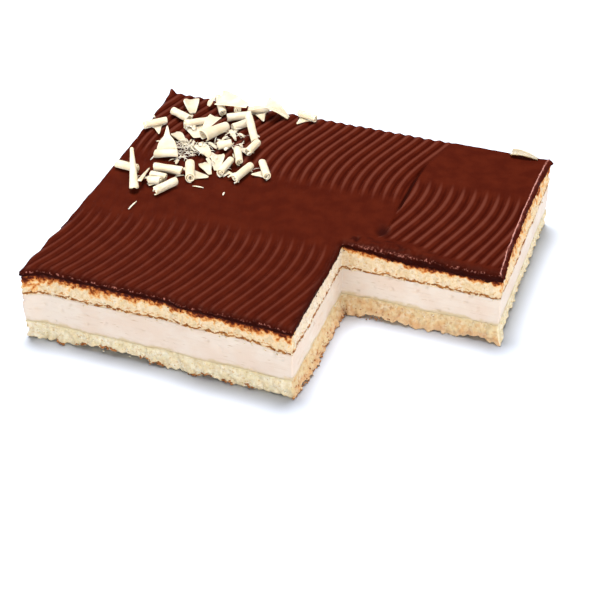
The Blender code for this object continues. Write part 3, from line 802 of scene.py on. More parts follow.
upper = sponge_finish("top_sponge_crumb", browned=0.7)
reach = upper.mark("toast")
upper.lay(TINT_STRENGTH, upper.mix(upper.share(reach, 1.5, 3.5), ROSY_CRUMB, ORANGE_CRUMB))
blotches = upper.blots(4.5 * MM, 0.3, 0.7, 0.5, 1.3, stretch=(1, 1, 0.7))
grains = upper.blots(2.0 * MM, 0.25, 0.75, -0.23, 0.27, shift=0.2)
depth = upper.plus(upper.math("DIVIDE", upper.mark("under"), upper.times(reach, blotches)), grains)
upper.colour(upper.mix(upper.share(depth, 0.75, 1.1), upper.ramp(depth, TOAST), upper.tone))


# %% Upper sponge's brown skin
def skin_line(height, half, wander, shift, gap):
    """A brown line at a height (mm) over the cream. It wanders; the larger its gap, the more is missing."""
    swing = upper.blots(3 * MM, 0.25, 0.75, -wander, wander, detail=5, shift=shift)
    offset = upper.math("SUBTRACT", upper.plus(upper.mark("over"), swing), height)
    there = upper.blots(2.6 * MM, gap, gap + 0.12, detail=4, shift=shift + 0.5)
    return upper.times(upper.share(upper.math("ABSOLUTE", offset), half * 1.3, half * 0.6), there)


FAINT_SKIN = paint(210, 150, 90)
LIGHT_SKIN = paint(180, 118, 58)
DARK_SKIN = paint(132, 76, 36)

upper.lay(skin_line(height=2.8, half=0.5, wander=1.2, shift=0.3, gap=0.50), FAINT_SKIN)
skin = upper.mix(upper.blots(1.5 * MM, 0.35, 0.65, shift=0.8), LIGHT_SKIN, DARK_SKIN)
upper.lay(skin_line(height=1.0, half=0.75, wander=0.9, shift=0.9, gap=0.33), skin)
new_piece("top_sponge_crumb", sponge_slab, upper, ["top_sponge"])

# %% [markdown]
# ## The combed icing
# A toothed comb was drawn twice through the warm icing, from the front to the back, in a wave: once over
# the left three quarters and once over the right, mirrored. Where the comb was lifted the ridges fade. A
# ridge is a cosine across the comb's path, and the path sways with y. Modelling it as a height over the
# plan, rather than as ropes laid side by side, lets ridges fade, meet at the seam and be dragged out at a
# lip, as real icing does.


# %% The comb's two passes
RIDGE_DEPTH = 1.3 * MM
SWAY_LENGTH = 165 * MM
SEAM_MIDDLE = 51 * MM
LEFT_PASS = dict(first=-145.55 * MM, pitch=6.15 * MM, turn=41.2 * MM, sway=8.9 * MM)
RIGHT_PASS = dict(first=47.6 * MM, pitch=6.65 * MM, turn=43.5 * MM, sway=-8.9 * MM)


def crest(comb_pass, x, y):
    """1 on a ridge of a pass and 0 in its groove."""
    sway = comb_pass["sway"] * (1 - math.cos(2 * math.pi * (y - comb_pass["turn"]) / SWAY_LENGTH))
    ridge = (x - comb_pass["first"] - sway) / comb_pass["pitch"]
    return (0.5 + 0.5 * math.cos(2 * math.pi * ridge)) ** 0.85


def left_strength(x, y):
    """The first pass is nearly flat where the comb was lifted, and the flat part is longer at the left."""
    front = -39 * MM - 8 * MM * faded(LEFT + 20 * MM, LEFT + 80 * MM, x)
    return 1 - 0.82 * eased(front, front + 24 * MM, y) * faded(16 * MM, 42 * MM, y)


def right_strength(x, y):
    """The second pass is deep in its middle and smooth behind, and starts further back at its left."""
    start = -18 * MM + 6 * MM * faded(66 * MM, 86 * MM, x)
    return eased(start, start + 7 * MM, y) * faded(42 * MM, 66 * MM, y)


def seam_x(y):
    """The line where the second pass starts beside the first."""
    back = max(0, y - 45 * MM)
    front = min(max(0, 18 * MM - y), 30 * MM)
    return SEAM_MIDDLE + 3.3 * back * back - 4.5 * front * front


print("the seam runs from x", round(seam_x(BACK) / MM), "to", round(seam_x(CUT_Y) / MM), "mm")


# %% Lips and smears
def lip_share(x, y):
    """How near a place is to the front rim or to a rim of the cut, where the ridges are dragged out."""
    front = faded(0, 3.5 * MM, y - FRONT)
    cut = faded(0, 5 * MM, y - CUT_Y) * eased(-3.5 * MM, 0, x - CUT_X)
    side = faded(0, 2.4 * MM, CUT_X - x) * faded(-1 * MM, 3 * MM, y - CUT_Y)
    return max(front, cut, 0.8 * side)


def smear_share(x, y):
    """Where the icing was dragged into lumps and folds: along the left half of the cut's back rim."""
    near = faded(5 * MM, 13 * MM, y - CUT_Y)
    return near * faded(70 * MM, 92 * MM, x) * eased(0, 3 * MM, x - CUT_X)


def rough_icing(x, y):
    """The lumps and drag marks of the smooth stretches and the lips, in metres."""
    dragged = noise.noise(Vector((x / (14 * MM), y / (3 * MM), 2.0)))
    small = ripple(x, y, 2.2 * MM, 6.0)
    coarse = ripple(x, y, 5 * MM, 9.0)
    behind = eased(44 * MM, 64 * MM, y) * eased(0, 6 * MM, x - seam_x(y))
    rough = max(lip_share(x, y), smear_share(x, y))
    calm_part = (0.25 * dragged + 0.12 * small) * behind
    rough_part = (0.9 * small + 1.2 * coarse) * rough
    return (calm_part + rough_part + 0.04 * small) * MM


print("smeared at the cut's inner corner:", round(smear_share(CUT_X + 5 * MM, CUT_Y), 2))


# %% Pit, slit and rims
PIT_MIDDLE = (49 * MM, -1.4 * MM)
PIT_RADIUS = 5.5 * MM
PEAK_HEIGHT = 2.4 * MM


def pit_share(x, y):
    """The pit at the seam's front end, 1 at its bottom."""
    away = math.hypot(x - PIT_MIDDLE[0], 0.7 * (y - PIT_MIDDLE[1]))
    return faded(0.2, 1.0, away / PIT_RADIUS)


def slit_share(x, y):
    """The slit that the comb left along the seam's middle, 1 at its bottom."""
    along = eased(16 * MM, 28 * MM, y) * faded(58 * MM, 72 * MM, y)
    return along * faded(0.2 * MM, 1.3 * MM, abs(seam_x(y) - x))


def seam_groove(x, y):
    """The groove where the first pass ends at the second, with its slit and its pit, in metres."""
    slope = faded(0, 2.5 * MM, abs(seam_x(y) - x))
    return (0.3 * slope + 1.6 * slit_share(x, y) + 1.6 * pit_share(x, y)) * MM


def bead(x, y):
    """1 on the raised line that the comb's end left just inside the right rim, and 0 away from it."""
    wave = 0.4 * MM * ripple(0, y, 9 * MM, 3.0)
    return max(0, 1 - abs(RIGHT - x - 1.3 * MM - wave) / (1.2 * MM))


def rim_roll(x, y):
    """How far the icing's top rolls over towards each edge, in metres."""
    right = 1.3 * faded(0, 1.4 * MM, RIGHT - x) ** 1.5
    edges = min(y - FRONT, x - LEFT, BACK - y)
    return (right - 0.55 * bead(x, y) + 0.5 * faded(0, 1.2 * MM, edges)) * MM


def corner_peak(x, y):
    """The little peak that the comb pulled up as it left the back left corner, in metres."""
    return PEAK_HEIGHT * faded(0, 4 * MM, math.hypot(x - LEFT - 0.6 * MM, y - BACK))


def icing_height(x, y):
    """The height of the combed surface over a place of the plan."""
    lip = lip_share(x, y)
    calm = (1 - 0.7 * lip) * (1 - 0.35 * faded(0, 3 * MM, BACK - y))
    drop = lip * (0.9 - 0.5 * ripple(x, y, 9 * MM, 5.0)) * MM
    left = RIDGE_DEPTH * left_strength(x, y) * calm * (1 - crest(LEFT_PASS, x, y))
    right = RIDGE_DEPTH * right_strength(x, y) * calm * (1 - crest(RIGHT_PASS, x, y))
    across = eased(-0.5 * MM, 0.5 * MM, x - seam_x(y))
    groove = left * (1 - across) + right * across + seam_groove(x, y)
    return ICING_TOP - groove - drop + rough_icing(x, y) - rim_roll(x, y) + corner_peak(x, y)


print("icing at the middle of the cake:", round(icing_height(0, 0) / MM, 2), "mm")

# %% [markdown]
# ## The icing's top and its rim
# The top is a grid of points whose lines pass exactly through the cut's edges, so that the cut is a clean
# step in it. The rim is a second sheet of rings that starts on the top's own edge points, bulges into a
# lumpy lip and ends at the seam with the sponge. Both use the same edge points, so they weld without a gap.


# %% Grid lines through the cut
COMB_STEP_X = 0.62 * MM
COMB_STEP_Y = 1.2 * MM


def lines(start, stop, end, step):
    """Positions from a start to an end about a step apart, one of them exactly on the stop between them."""
    first, second = round((stop - start) / step), round((end - stop) / step)
    return ([start + (stop - start) * index / first for index in range(first)]
            + [stop + (end - stop) * index / second for index in range(second + 1)])


XS = lines(LEFT, CUT_X, RIGHT, COMB_STEP_X)
YS = lines(FRONT, CUT_Y, BACK, COMB_STEP_Y)
print("icing grid:", len(XS), "by", len(YS))


# %% The icing's top
TOP_EDGE_OUT = 0.5 * MM


def pushed(x, y, height):
    """A place of the top, pushed out with the uneven walls that it is near."""
    spot = Vector((x, y, height))
    moved = set_in(spot)
    for wall in WALLS:
        start, end = wall_ends(wall)
        run = end - start
        along = min(1, max(0, (spot.xy - start).dot(run) / run.length_squared))
        distance = (spot.xy - start - along * run).length
        if distance < RIM_BAND:
            out = TOP_EDGE_OUT * crag(Vector((x, y, ICING_TOP))) * (1 - distance / RIM_BAND)
            moved.xy += wall_facing(wall) * out
    return moved


def ridge_share(x, y):
    """1 on a deep ridge's crest, -1 in a deep groove, and 0 where the icing is smooth."""
    if x < seam_x(y):
        faint = 0.72 + 0.28 * eased(-50 * MM, -10 * MM, y)
        return faint * left_strength(x, y) * (2 * crest(LEFT_PASS, x, y) - 1)
    return right_strength(x, y) * (2 * crest(RIGHT_PASS, x, y) - 1)


def painted_highlight_share(x, y):
    """The band along the cut's back rim that gets painted highlight specks, most of it at the left."""
    near = faded(1 * MM, 5 * MM, y - CUT_Y)
    return 0.5 * near * eased(0, 6 * MM, x - CUT_X) * faded(34 * MM, 60 * MM, x - CUT_X)


def top_point(column, row):
    """A point of the top with its marks: its painted shade, its painted highlight, and its ridge."""
    x, y = XS[column], YS[row]
    if x > CUT_X and y < CUT_Y:
        return None
    # The rim mark is painted shade: on the lips, in the pit and the slit, and in the folds of the smeared
    # band. The shine mark is a painted highlight along the bead and the cut's back rim.
    painted_fold_shade = 2 * max(0, noise.noise(Vector((x / (5 * MM), y / (2 * MM), 1.0)))) * smear_share(x, y)
    dark = max(0.7 * lip_share(x, y), pit_share(x, y), slit_share(x, y), min(0.8, painted_fold_shade))
    shine = max(bead(x, y), painted_highlight_share(x, y))
    return pushed(x, y, icing_height(x, y)), dark, shine, ridge_share(x, y)


ICING_MARKS = ("rim", "shine", "ridge")
icing_skin = bmesh.new()
sheet(icing_skin, len(XS), len(YS), top_point, ICING_MARKS)
print("points in the icing's top:", len(icing_skin.verts))


# %% The icing's rim
def rim_walk():
    """The top's own edge points, in order round the plan."""
    points = []
    for wall in WALLS:
        start, end = wall_ends(wall)
        stops = XS if abs(end.x - start.x) > abs(end.y - start.y) else YS
        axis = 0 if stops is XS else 1
        low, high = sorted((start[axis], end[axis]))
        inside = [stop for stop in stops if low - WELD < stop < high + WELD]
        alongs = sorted(abs(stop - start[axis]) for stop in inside)
        points += [WallPoint(wall, along) for along in alongs[:-1]]
    return points + points[:1]


RIM = rim_walk()
RIM_RINGS = 7
LIP_SHINE = {"front": 0.7, "cut back": 0.7}
FRINGE = {"cut back": 1.8 * MM}
PLAIN_FRINGE = 0.7 * MM


def rim_fringe(point):
    """How ragged the lip's lower edge is at a place of the rim. Large drips hang on the cut's back wall."""
    x, y = point.place
    fringe = FRINGE.get(point.wall, PLAIN_FRINGE) * ripple(x, y, 3 * MM, 7.0)
    fringe -= 0.9 * MM * max(0, ripple(x, y, 1.6 * MM, 3.0))
    if point.wall == "cut back":
        fringe -= 2.2 * MM * max(0, ripple(x, 0, 4.5 * MM, 2.0))
    return fringe


def rim_bulge(point, spot, share):
    """How far the lumpy lip stands out, in millimetres. It follows the ridges where they end at the cut."""
    lip = 4 * share * (1 - share)
    bulge = lip * (0.3 + 0.9 * lumps(spot, 3.2 * MM, (1, 2, 3)) + 0.6 * lumps(spot, 1.5 * MM, (6, 2, 4)))
    if point.wall == "cut left":
        bulge += 0.5 * lip * (ridge_share(*point.place) + 0.4)
    if point.wall == "right":
        bulge += 0.6 * eased(0, 0.5, share)
    if point.wall == "cut back":
        bulge += 0.8 * lip * lumps(spot, 4.5 * MM, (3, 3, 9))
    return bulge


def rim_point(column, row):
    """A point of the rim with its marks: row 0 is the top's edge, and the last row closes the rim inside."""
    point = RIM[column]
    x, y = point.place
    top = icing_height(x, y)
    if row == 0:
        return pushed(x, y, top), 0.5, LIP_SHINE.get(point.wall, 0), 0
    if row == RIM_RINGS + 1:
        return point.moved(-RIM_BAND, SPONGE_TOP), 1, 0, 0
    share = row / RIM_RINGS
    bottom = icing_seam(point.place) - 0.15 * MM + rim_fringe(point)
    height = top + share * (bottom - top)
    edge = 0.5 * crag(Vector((x, y, ICING_TOP)))
    bulge = rim_bulge(point, Vector((x, y, height)), share)
    # The rim mark gives the lip's side painted shade, darker towards its foot. The shine mark gives painted
    # highlights along the upper edge of the front and back lips.
    shine = LIP_SHINE.get(point.wall, 0) * faded(0, 0.6, share)
    dark = 0.3 + 0.4 * share if point.wall == "right" else min(1, 0.5 + share)
    return point.moved((edge + bulge) * MM, height), dark, shine, 0


sheet(icing_skin, len(RIM), RIM_RINGS + 2, rim_point, ICING_MARKS)
weld(icing_skin, fill=True)

# %% [markdown]
# ## The icing's finish
# Set chocolate icing is dark, and it has a satin skin: the light lies on the ridges as a soft reddish sheen
# and never as a sharp spark. So the roughness is about a half and varies, and the reflection is kept low
# and reddish, because a strong white one would turn the deep red-brown of the grooves grey. Part of the
# ridges' sheen is painted: a painted highlight on the crests and painted shade in the grooves. The lips
# and the icing's sides get painted shade, and along the lips' edge, as along the raised line at the right,
# broken pale streaks are painted highlights.

# %% Icing finish and piece
DARK_ICING = paint(66, 18, 8)
WARM_ICING = paint(76, 24, 11)
PAINTED_GROOVE_SHADE = paint(54, 9, 3)
RIDGE_SHEEN = paint(104, 54, 42)
PAINTED_LIP_SHADE = paint(46, 12, 8)
PAINTED_STREAK_HIGHLIGHT = paint(176, 112, 98)
PAINTED_HIGHLIGHT = paint(206, 152, 142)
RED_GLINT = (1.0, 0.5, 0.3, 1.0)

icing = Finish("combed_icing", roughness=0.5, gloss=0.02)
icing.shader.inputs["Specular Tint"].default_value = RED_GLINT
icing.join(icing.blots(3 * MM, 0.3, 0.7, 0.42, 0.54, shift=0.6), icing.shader.inputs["Roughness"])
icing.relief((icing.speckle(0.9 * MM), 0.05 * MM), (icing.speckle(4 * MM, stretch=(1, 0.3, 1)), 0.12 * MM))

icing.colour(DARK_ICING)
icing.lay(icing.blots(9 * MM, 0.3, 0.7, detail=4), WARM_ICING)
# Painted shade in the grooves and a painted highlight on the crests, both set by the ridge mark.
icing.lay(icing.share(icing.mark("ridge"), -0.3, -1.0, 0, 0.85), PAINTED_GROOVE_SHADE)
icing.lay(icing.share(icing.mark("ridge"), 0.3, 1.0, 0, 0.65), RIDGE_SHEEN)
# Painted shade on the lips and the icing's sides, and in the pit, the slit and the folds.
icing.lay(icing.mark("rim"), PAINTED_LIP_SHADE)
# Painted highlights: broken pale streaks along the lips, the cut's back rim and the bead.
shine = icing.mark("shine")
streaked = icing.blots(1.2 * MM, 0.48, 0.64, detail=4, shift=0.3)
icing.lay(icing.times(streaked, icing.share(shine, 0.35, 0.75, 0, 0.9)), PAINTED_STREAK_HIGHLIGHT)
broken = icing.blots(3 * MM, 0.35, 0.5, 0.5, 0.9, shift=0.5)
icing.lay(icing.times(icing.share(shine, 0.71, 0.9), broken), PAINTED_HIGHLIGHT)
new_piece("combed_icing", icing_skin, icing, ["chocolate_icing"])

# %% [markdown]
# ## White chocolate shavings
# A knife pushed along a block of white chocolate lifts a thin sheet that rolls up as it comes. Where it
# doesn't roll to its end, a torn tail is left, which narrows in a hollow curve like a thorn. Thin shavings
# stay open as flakes, and a slanted push gives a cone. Each is a sheet given by a formula in two
# directions, across and around, thickened with Solidify and rounded with one step of Subdivision Surface,
# which is how a real edge melts round.
#
# The table says what each curl is. at is its middle, length its length, and radius, mouth, width, cup and
# arch are its other sizes, in millimetres. turn is the way that it points, and lift and bank tip it, in
# degrees. A cone's tip is its small radius, and a flake's root is how broad it starts, as a share. A
# roll's tail is so long; it leaves the roll at a share of its length, leaves, and is root wide there and
# tip at its end. shoulder and hollow shape its sides, and skew, climb and side say where it goes.

# %% The curls, as they lie
CURLS = (
    dict(kind="roll", at=(-107.2, 7.4), turn=-4, length=15),
    dict(kind="cone", at=(-99.9, 0.4), turn=-64, length=29, mouth=2.4, lift=-8),
    dict(kind="flake", at=(-93.6, 1.6), turn=99, length=21, width=2.4, arch=0.1),
    dict(kind="roll", at=(-111.4, 56.4), turn=42, length=15, tail=14, side=-1, leaves=0.6, root=0.4,
         skew=-3.2),
    dict(kind="roll", at=(-91.3, 26.6), turn=14, length=14, tail=26, root=0.98, tip=0.12, climb=6, skew=-3,
         shoulder=0.7, hollow=0.35),
    dict(kind="flake", at=(-92.6, 49.2), turn=-40, length=14, width=8, root=0.5),
    dict(kind="roll", at=(-84.0, 12.4), turn=3, length=17.4),
    dict(kind="roll", at=(-85.8, 3.4), turn=-3, length=10),
    dict(kind="roll", at=(-86.0, -2.4), turn=2, length=8.6, tail=6, side=-1, leaves=0.3, root=0.3, skew=-1),
    dict(kind="roll", at=(-78.3, -5.2), turn=62, length=16),
    dict(kind="roll", at=(-70.9, 15.0), turn=-67, length=18, radius=3, tail=10.5, root=0.8, tip=0.1, skew=5),
    dict(kind="roll", at=(-100.8, 71.0), turn=-23, length=15, tail=8, leaves=0.75, root=0.5),
    dict(kind="flake", at=(-100.0, 85.8), turn=-64, length=17, width=14, cup=6, root=0.4),
    dict(kind="roll", at=(-87.4, 65.8), turn=34, length=18, tail=15, side=-1, leaves=0.42, root=0.84,
         tip=0.6),
    dict(kind="flake", at=(-79.0, 63.0), turn=-100, length=16, width=9),
    dict(kind="cone", at=(-73.0, 57.4), turn=247, length=20, mouth=3.5, tip=2.4),
    dict(kind="roll", at=(-63.2, 71.4), turn=56, length=11),
    dict(kind="roll", at=(-67.4, 80.6), turn=34, length=15),
    dict(kind="roll", at=(-53.0, 66.6), turn=-57, length=20),
    dict(kind="flake", at=(-63.4, 61.6), turn=-44, length=9, width=4, root=0.5),
    dict(kind="roll", at=(-46.6, 50.6), turn=-98, length=13, tail=9, side=-1, leaves=0.6, root=0.8, skew=3),
    dict(kind="roll", at=(-50.8, 39.2), turn=-64, length=15),
    dict(kind="roll", at=(-31.8, 30.2), turn=-59, length=17, tail=9, side=-1, leaves=0.6, root=0.5),
    dict(kind="roll", at=(-42.4, 22.4), turn=77, length=18),
    dict(kind="roll", at=(-53.4, 25.2), turn=87, length=16, tail=7, side=-1, leaves=0.3),
    dict(kind="roll", at=(-82.2, 89.4), turn=-59, length=20),
    dict(kind="roll", at=(-70.4, 88.4), turn=-70, length=12),
    dict(kind="roll", at=(-58.8, 91.0), turn=32, length=13, tail=14, side=-1, leaves=0.6, root=0.6),
    dict(kind="flake", at=(-46.8, 92.0), turn=8, length=16, width=14, lift=-14),
    dict(kind="roll", at=(-28.6, 94.6), turn=-15, length=13, tail=11, side=-1, leaves=0.4, root=0.6),
    dict(kind="flake", at=(-73.0, 87.6), turn=-14, length=21, width=13, bank=25),
    dict(kind="flake", at=(-88.6, 90.4), turn=72, length=7, width=4, root=0.5),
    dict(kind="flake", at=(-72.6, 39.0), turn=-36, length=15, width=10, root=0.5),
    dict(kind="flake", at=(-60.8, 31.2), turn=-72, length=17, width=11, cup=6, root=0.6),
    dict(kind="flake", at=(-64.6, 22.6), turn=-45, length=13, width=8, root=0.5),
    dict(kind="roll", at=(-63.4, 47.6), turn=40, length=9),
    dict(kind="flake", at=(104.7, 97.0), turn=-2, length=16, width=8, cup=4),
)
print("curls:", len(CURLS))

# %% [markdown]
# ## A shaving's three shapes
# A roll is a spiral: its radius grows by little more than its thickness in a turn. Its tail runs on from
# the spiral's end. A cone is the same sheet wrapped round a widening core, with its slit underneath. A
# flake is a shallow trough that narrows to its tip. Each shape gets a little noise that its turn and its
# length decide, so no two rolls are alike.


# %% Roll, cone and flake
WINDINGS = 1.9
WOUND_DEPTH = 2.1 * MM
CONE_WRAP = math.radians(325)


def tail_share(across, curl):
    """How much of a roll's tail is there, across the roll: it narrows in hollow curves to its tip."""
    middle, root, tip = curl.get("leaves", 0.5), curl.get("root", 0.5) / 2, curl.get("tip", 0) / 2
    beside = (abs(across - middle) - tip) / (root - tip)
    if beside <= 0:
        return 1
    return curl.get("shoulder", 1) * (1 - min(1, beside)) ** curl.get("hollow", 1.5)


def roll_point(across, around, curl):
    """A sheet rolled up about the local X axis. From 1 to 2 around, its tail leaves along the ground."""
    length = curl["length"] * MM
    rolled = min(around, 1)
    angle = 2 * math.pi * WINDINGS * (rolled - 1)
    radius = curl.get("radius", 2.5) * MM - WOUND_DEPTH * (1 - rolled) ** 0.9
    radius *= 1 + 0.10 * lumps((across * length, around * 2 * MM, 0), 5 * MM, (curl["turn"], 0, 0))
    slant = 0.08 * length * math.sin(3 * rolled)
    x = (across - 0.5) * (length - abs(slant)) + slant / 2
    x += 1.1 * MM * (2 * across - 1) * lumps((around, curl["length"] * 0.1, curl["turn"]), 0.3)
    y, z = radius * math.sin(angle), -radius * math.cos(angle)
    if around > 1:
        reach = (around - 1) * tail_share(across, curl)
        x += reach * curl.get("skew", 0) * MM
        y += reach * curl["tail"] * MM
        z += reach * curl.get("climb", 1) * MM
    return Vector((x, y * curl.get("side", 1), z))


def cone_point(across, around, curl):
    """A sheet wrapped to a cone that widens towards local +X."""
    tip, mouth = curl.get("tip", 0.6) * MM, curl["mouth"] * MM
    radius = tip + across * (mouth - tip)
    radius *= 1 + 0.06 * lumps((across * 20, around * 3, curl["turn"]), 5)
    angle = CONE_WRAP * (around / 2 - 0.5)
    x = (across - 0.5 + 0.05 * math.cos(angle) * across) * curl["length"] * MM
    return Vector((x, radius * math.sin(angle), radius * math.cos(angle)))


def flake_point(across, around, curl):
    """A nearly flat shaving that narrows towards local +X, with its two long edges curled up."""
    cup = curl.get("cup", 8) * MM
    root = curl.get("root", 1)
    narrow = root + (1 - root) * eased(-0.1, 0.45, across)
    width = curl["width"] * MM * narrow * (1 - 0.75 * across ** 1.5)
    width *= 1 + 0.12 * lumps((across, around > 1, curl["turn"]), 0.22)
    angle = width / cup * (around / 2 - 0.5)
    ragged = 0.7 * MM * lumps((around, across > 0.5, curl["turn"]), 0.5) * (2 * across - 1)
    x = (across - 0.5) * curl["length"] * MM + ragged
    rise = curl.get("arch", 1.2) * MM * math.sin(math.pi * across)
    return Vector((x, cup * math.sin(angle), cup * (1 - math.cos(angle)) + rise))


SHAPES = {"roll": roll_point, "cone": cone_point, "flake": flake_point}
print("shapes:", ", ".join(SHAPES))


# %% A curl's sheet
SHAVING = 0.75 * MM
COLUMN_STEP = 1.1
ROWS = {"roll": 37, "cone": 21, "flake": 11}
AROUND = {"roll": 1, "cone": 2, "flake": 2}
TAIL_ROWS = 8


def curl_sheet(curl):
    """The open sheet of one curl, about its own middle."""
    kind = curl["kind"]
    columns = max(9, round(curl["length"] / COLUMN_STEP) + 1)
    rows = ROWS[kind]
    tail_rows = TAIL_ROWS if "tail" in curl else 0

    def place(column, row):
        around = AROUND[kind] * row / (rows - 1) if row < rows else 1 + (row - rows + 1) / tail_rows
        return (SHAPES[kind](column / (columns - 1), around, curl),)

    shape = bmesh.new()
    sheet(shape, columns, rows + tail_rows, place)
    weld(shape)
    return shape


print("points in the first curl's sheet:", len(curl_sheet(CURLS[0]).verts))

# %% [markdown]
# ## Laying the curls on the heap
# The solids were dropped one by one onto the icing and came to rest at a lean that the heap gave them. The
# frame holds the result, so nothing is dropped again here: each curl tries the leans that the solids could
# take, keeps the one whose two ends differ in height as its solid's do, and is then lowered until its
# lowest point meets the solid's.


# %% Lean and height from the frame
LEANS = (0, -6, 6, -12, 12, -18, 18, -24, 24)
END_SHARE = 0.2


def rise(points, turn):
    """How much higher the end that a curl points to lies than its other end."""
    pointing = Vector((math.cos(math.radians(turn)), math.sin(math.radians(turn)), 0))
    alongs = [point.dot(pointing) for point in points]
    low, high = min(alongs), max(alongs)
    fore = [point.z for point, along in zip(points, alongs) if along > high - END_SHARE * (high - low)]
    aft = [point.z for point, along in zip(points, alongs) if along < low + END_SHARE * (high - low)]
    return sum(fore) / len(fore) - sum(aft) / len(aft)


def pose(curl, lean):
    """The curl's place, with a lean added to its own lift."""
    x, y = curl["at"]
    facing = Matrix.Rotation(math.radians(curl["turn"]), 4, "Z")
    raised = Matrix.Rotation(math.radians(-curl.get("lift", 0) - lean), 4, "Y")
    banked = Matrix.Rotation(math.radians(curl.get("bank", 0)), 4, "X")
    return Matrix.Translation((x * MM, y * MM, 0)) @ facing @ raised @ banked


def laid(curl, node, points):
    """The pose in which a curl's points lie as its solid does, and its lean."""
    solid = [vert.co for vert in frame["nodes"][node].data.vertices]
    wanted = rise(solid, curl["turn"])

    def miss(lean):
        posed = pose(curl, lean)
        return abs(rise([posed @ point for point in points], curl["turn"]) - wanted)

    lean = min(LEANS, key=miss)
    settled = pose(curl, lean)
    lowest = min((settled @ point).z for point in points) - SHAVING / 2
    return Matrix.Translation((0, 0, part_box(node)[0].z - lowest)) @ settled, lean


# %% [markdown]
# ## The shavings' finish and the curls themselves
# White chocolate is ivory, waxy and a little see-through at thin edges, so it gets more subsurface
# scattering than the crumb. The knife leaves fine scratches on each roll, which small noise bumps stand for.
# Solidify and Subdivision Surface stay as modifiers: nothing after them needs the finished mesh. The last
# flake lies alone at the back right corner, where the fills would burn it out and the curls' own lamp isn't
# needed.

# %% White chocolate finish
ivory = Finish("white_chocolate_wax", roughness=0.55, gloss=0.15)
ivory.colour(paint(212, 200, 178))
ivory.lay(ivory.blots(6 * MM, 0.35, 0.65), paint(207, 191, 163))
ivory.relief((ivory.speckle(0.7 * MM, detail=4), 0.06 * MM), (ivory.speckle(2.4 * MM), 0.15 * MM))
ivory.soft(0.8, 2.5 * MM, (1.0, 0.9, 0.7))

# %% Curls
lit_by_curl_lamp = curl_lamp.light_linking.receiver_collection.objects
shavings = []
for number, curl in enumerate(CURLS, start=1):
    node = f"white_curl_{number:02d}"
    shape = curl_sheet(curl)
    settled, lean = laid(curl, node, [vert.co.copy() for vert in shape.verts])
    bmesh.ops.transform(shape, matrix=settled, verts=shape.verts)
    piece = new_piece(f"shaving_{number:02d}", shape, ivory, [node])
    thick = piece.modifiers.new("Thickness", "SOLIDIFY")
    thick.thickness = SHAVING
    thick.offset = 0
    rounded = piece.modifiers.new("Rounded", "SUBSURF")
    rounded.levels = 1
    rounded.render_levels = 1
    shavings.append(piece)
    print(f"  a {curl['kind']} leaning {lean} degrees")

*heap, lone_flake = shavings
for piece in heap:
    lit_by_curl_lamp.link(piece)
shade([strip], *shavings)
shade(fills, lone_flake)

# %% [markdown]
# ## The nest of shreds and the loose slivers
# Among the curls lies a nest of fine shreds, the crumbs that fall from the knife, with broken chips round
# it, and a few slivers lie by themselves on the icing. Each shred is a short bent strip with narrow ends.
# They are one mesh, as one kind of scattered thing. The nest is a low dome: the nearer a shred is to its
# middle, the higher it may lie.


# %% Shreds
SHRED_STEPS = 6
SHRED_SIDES = 6


def add_shred(shape, middle, turn, tip, length, width, bend):
    """A bent strip with narrow ends, thick enough to catch a shadow."""
    turned = Matrix.Translation(middle) @ Matrix.Rotation(turn, 4, "Z") @ Matrix.Rotation(tip, 4, "Y")

    def place(column, row):
        share = column / SHRED_STEPS
        ring = 2 * math.pi * row / SHRED_SIDES
        half = 0.5 * width * math.sin(math.pi * (0.12 + 0.76 * share)) ** 0.6
        x = (share - 0.5) * length
        lifted = bend * (1 - (2 * share - 1) ** 2)
        thick = min(0.45 * half, 0.25 * MM)
        return (turned @ Vector((x, half * math.cos(ring), thick * math.sin(ring) + lifted)),)

    sheet(shape, SHRED_STEPS + 1, SHRED_SIDES + 1, place)


# %% The nest, in millimetres
NEST_MIDDLE = (-85.0, 37.5)
NEST_REACH = (9.0, 11.0)
NEST_SHREDS = 84


def add_nest(shape, draw):
    for _ in range(NEST_SHREDS):
        around, out = draw.uniform(0, 2 * math.pi), math.sqrt(draw.random())
        x = (NEST_MIDDLE[0] + NEST_REACH[0] * out * math.cos(around)) * MM
        y = (NEST_MIDDLE[1] + NEST_REACH[1] * out * math.sin(around)) * MM
        lift = 0.3 + 3.2 * (1 - out * out) * draw.random()
        middle = Vector((x, y, ICING_TOP + lift * MM))
        add_shred(shape, middle, draw.uniform(0, math.pi), draw.uniform(-0.4, 0.4),
                  draw.uniform(3, 7.5) * MM, draw.uniform(0.5, 0.9) * MM, draw.uniform(0.1, 1.1) * MM)


nest = bmesh.new()
shred_draw = random.Random(4)
add_nest(nest, shred_draw)
print("points in the nest:", len(nest.verts))

# %% Broken chips between the curls
# All in millimetres. Each place is a middle, and the height is that of the lowest chips.
CHIPS = ((-85.8, 59.7), (-84.0, 71.5), (-80.4, 69.0), (-67.8, 52.0), (-65.8, 57.8), (-59.8, 60.8),
         (-64.7, 65.2), (-67.5, 38.5), (-71.7, 43.2), (-75.8, 45.3), (-67.5, 46.2), (-64.4, 28.3),
         (-61.3, 30.9), (-84.7, 24.6), (-76.1, 16.2), (-78.2, 11.8), (-95.0, -1.6), (-86.8, 3.2),
         (-52.2, 23.8), (-48.5, 19.5), (-44.0, 18.4), (-38.8, 28.6), (-47.4, 45.6), (-51.5, 61.9),
         (-55.3, 52.5), (-73.2, 34.4), (-89.4, 60.9), (-60.7, 47.1))
CHIP_WIDTHS = (2.6, 0.8, 0.6)
CHIP_HEIGHT = 46


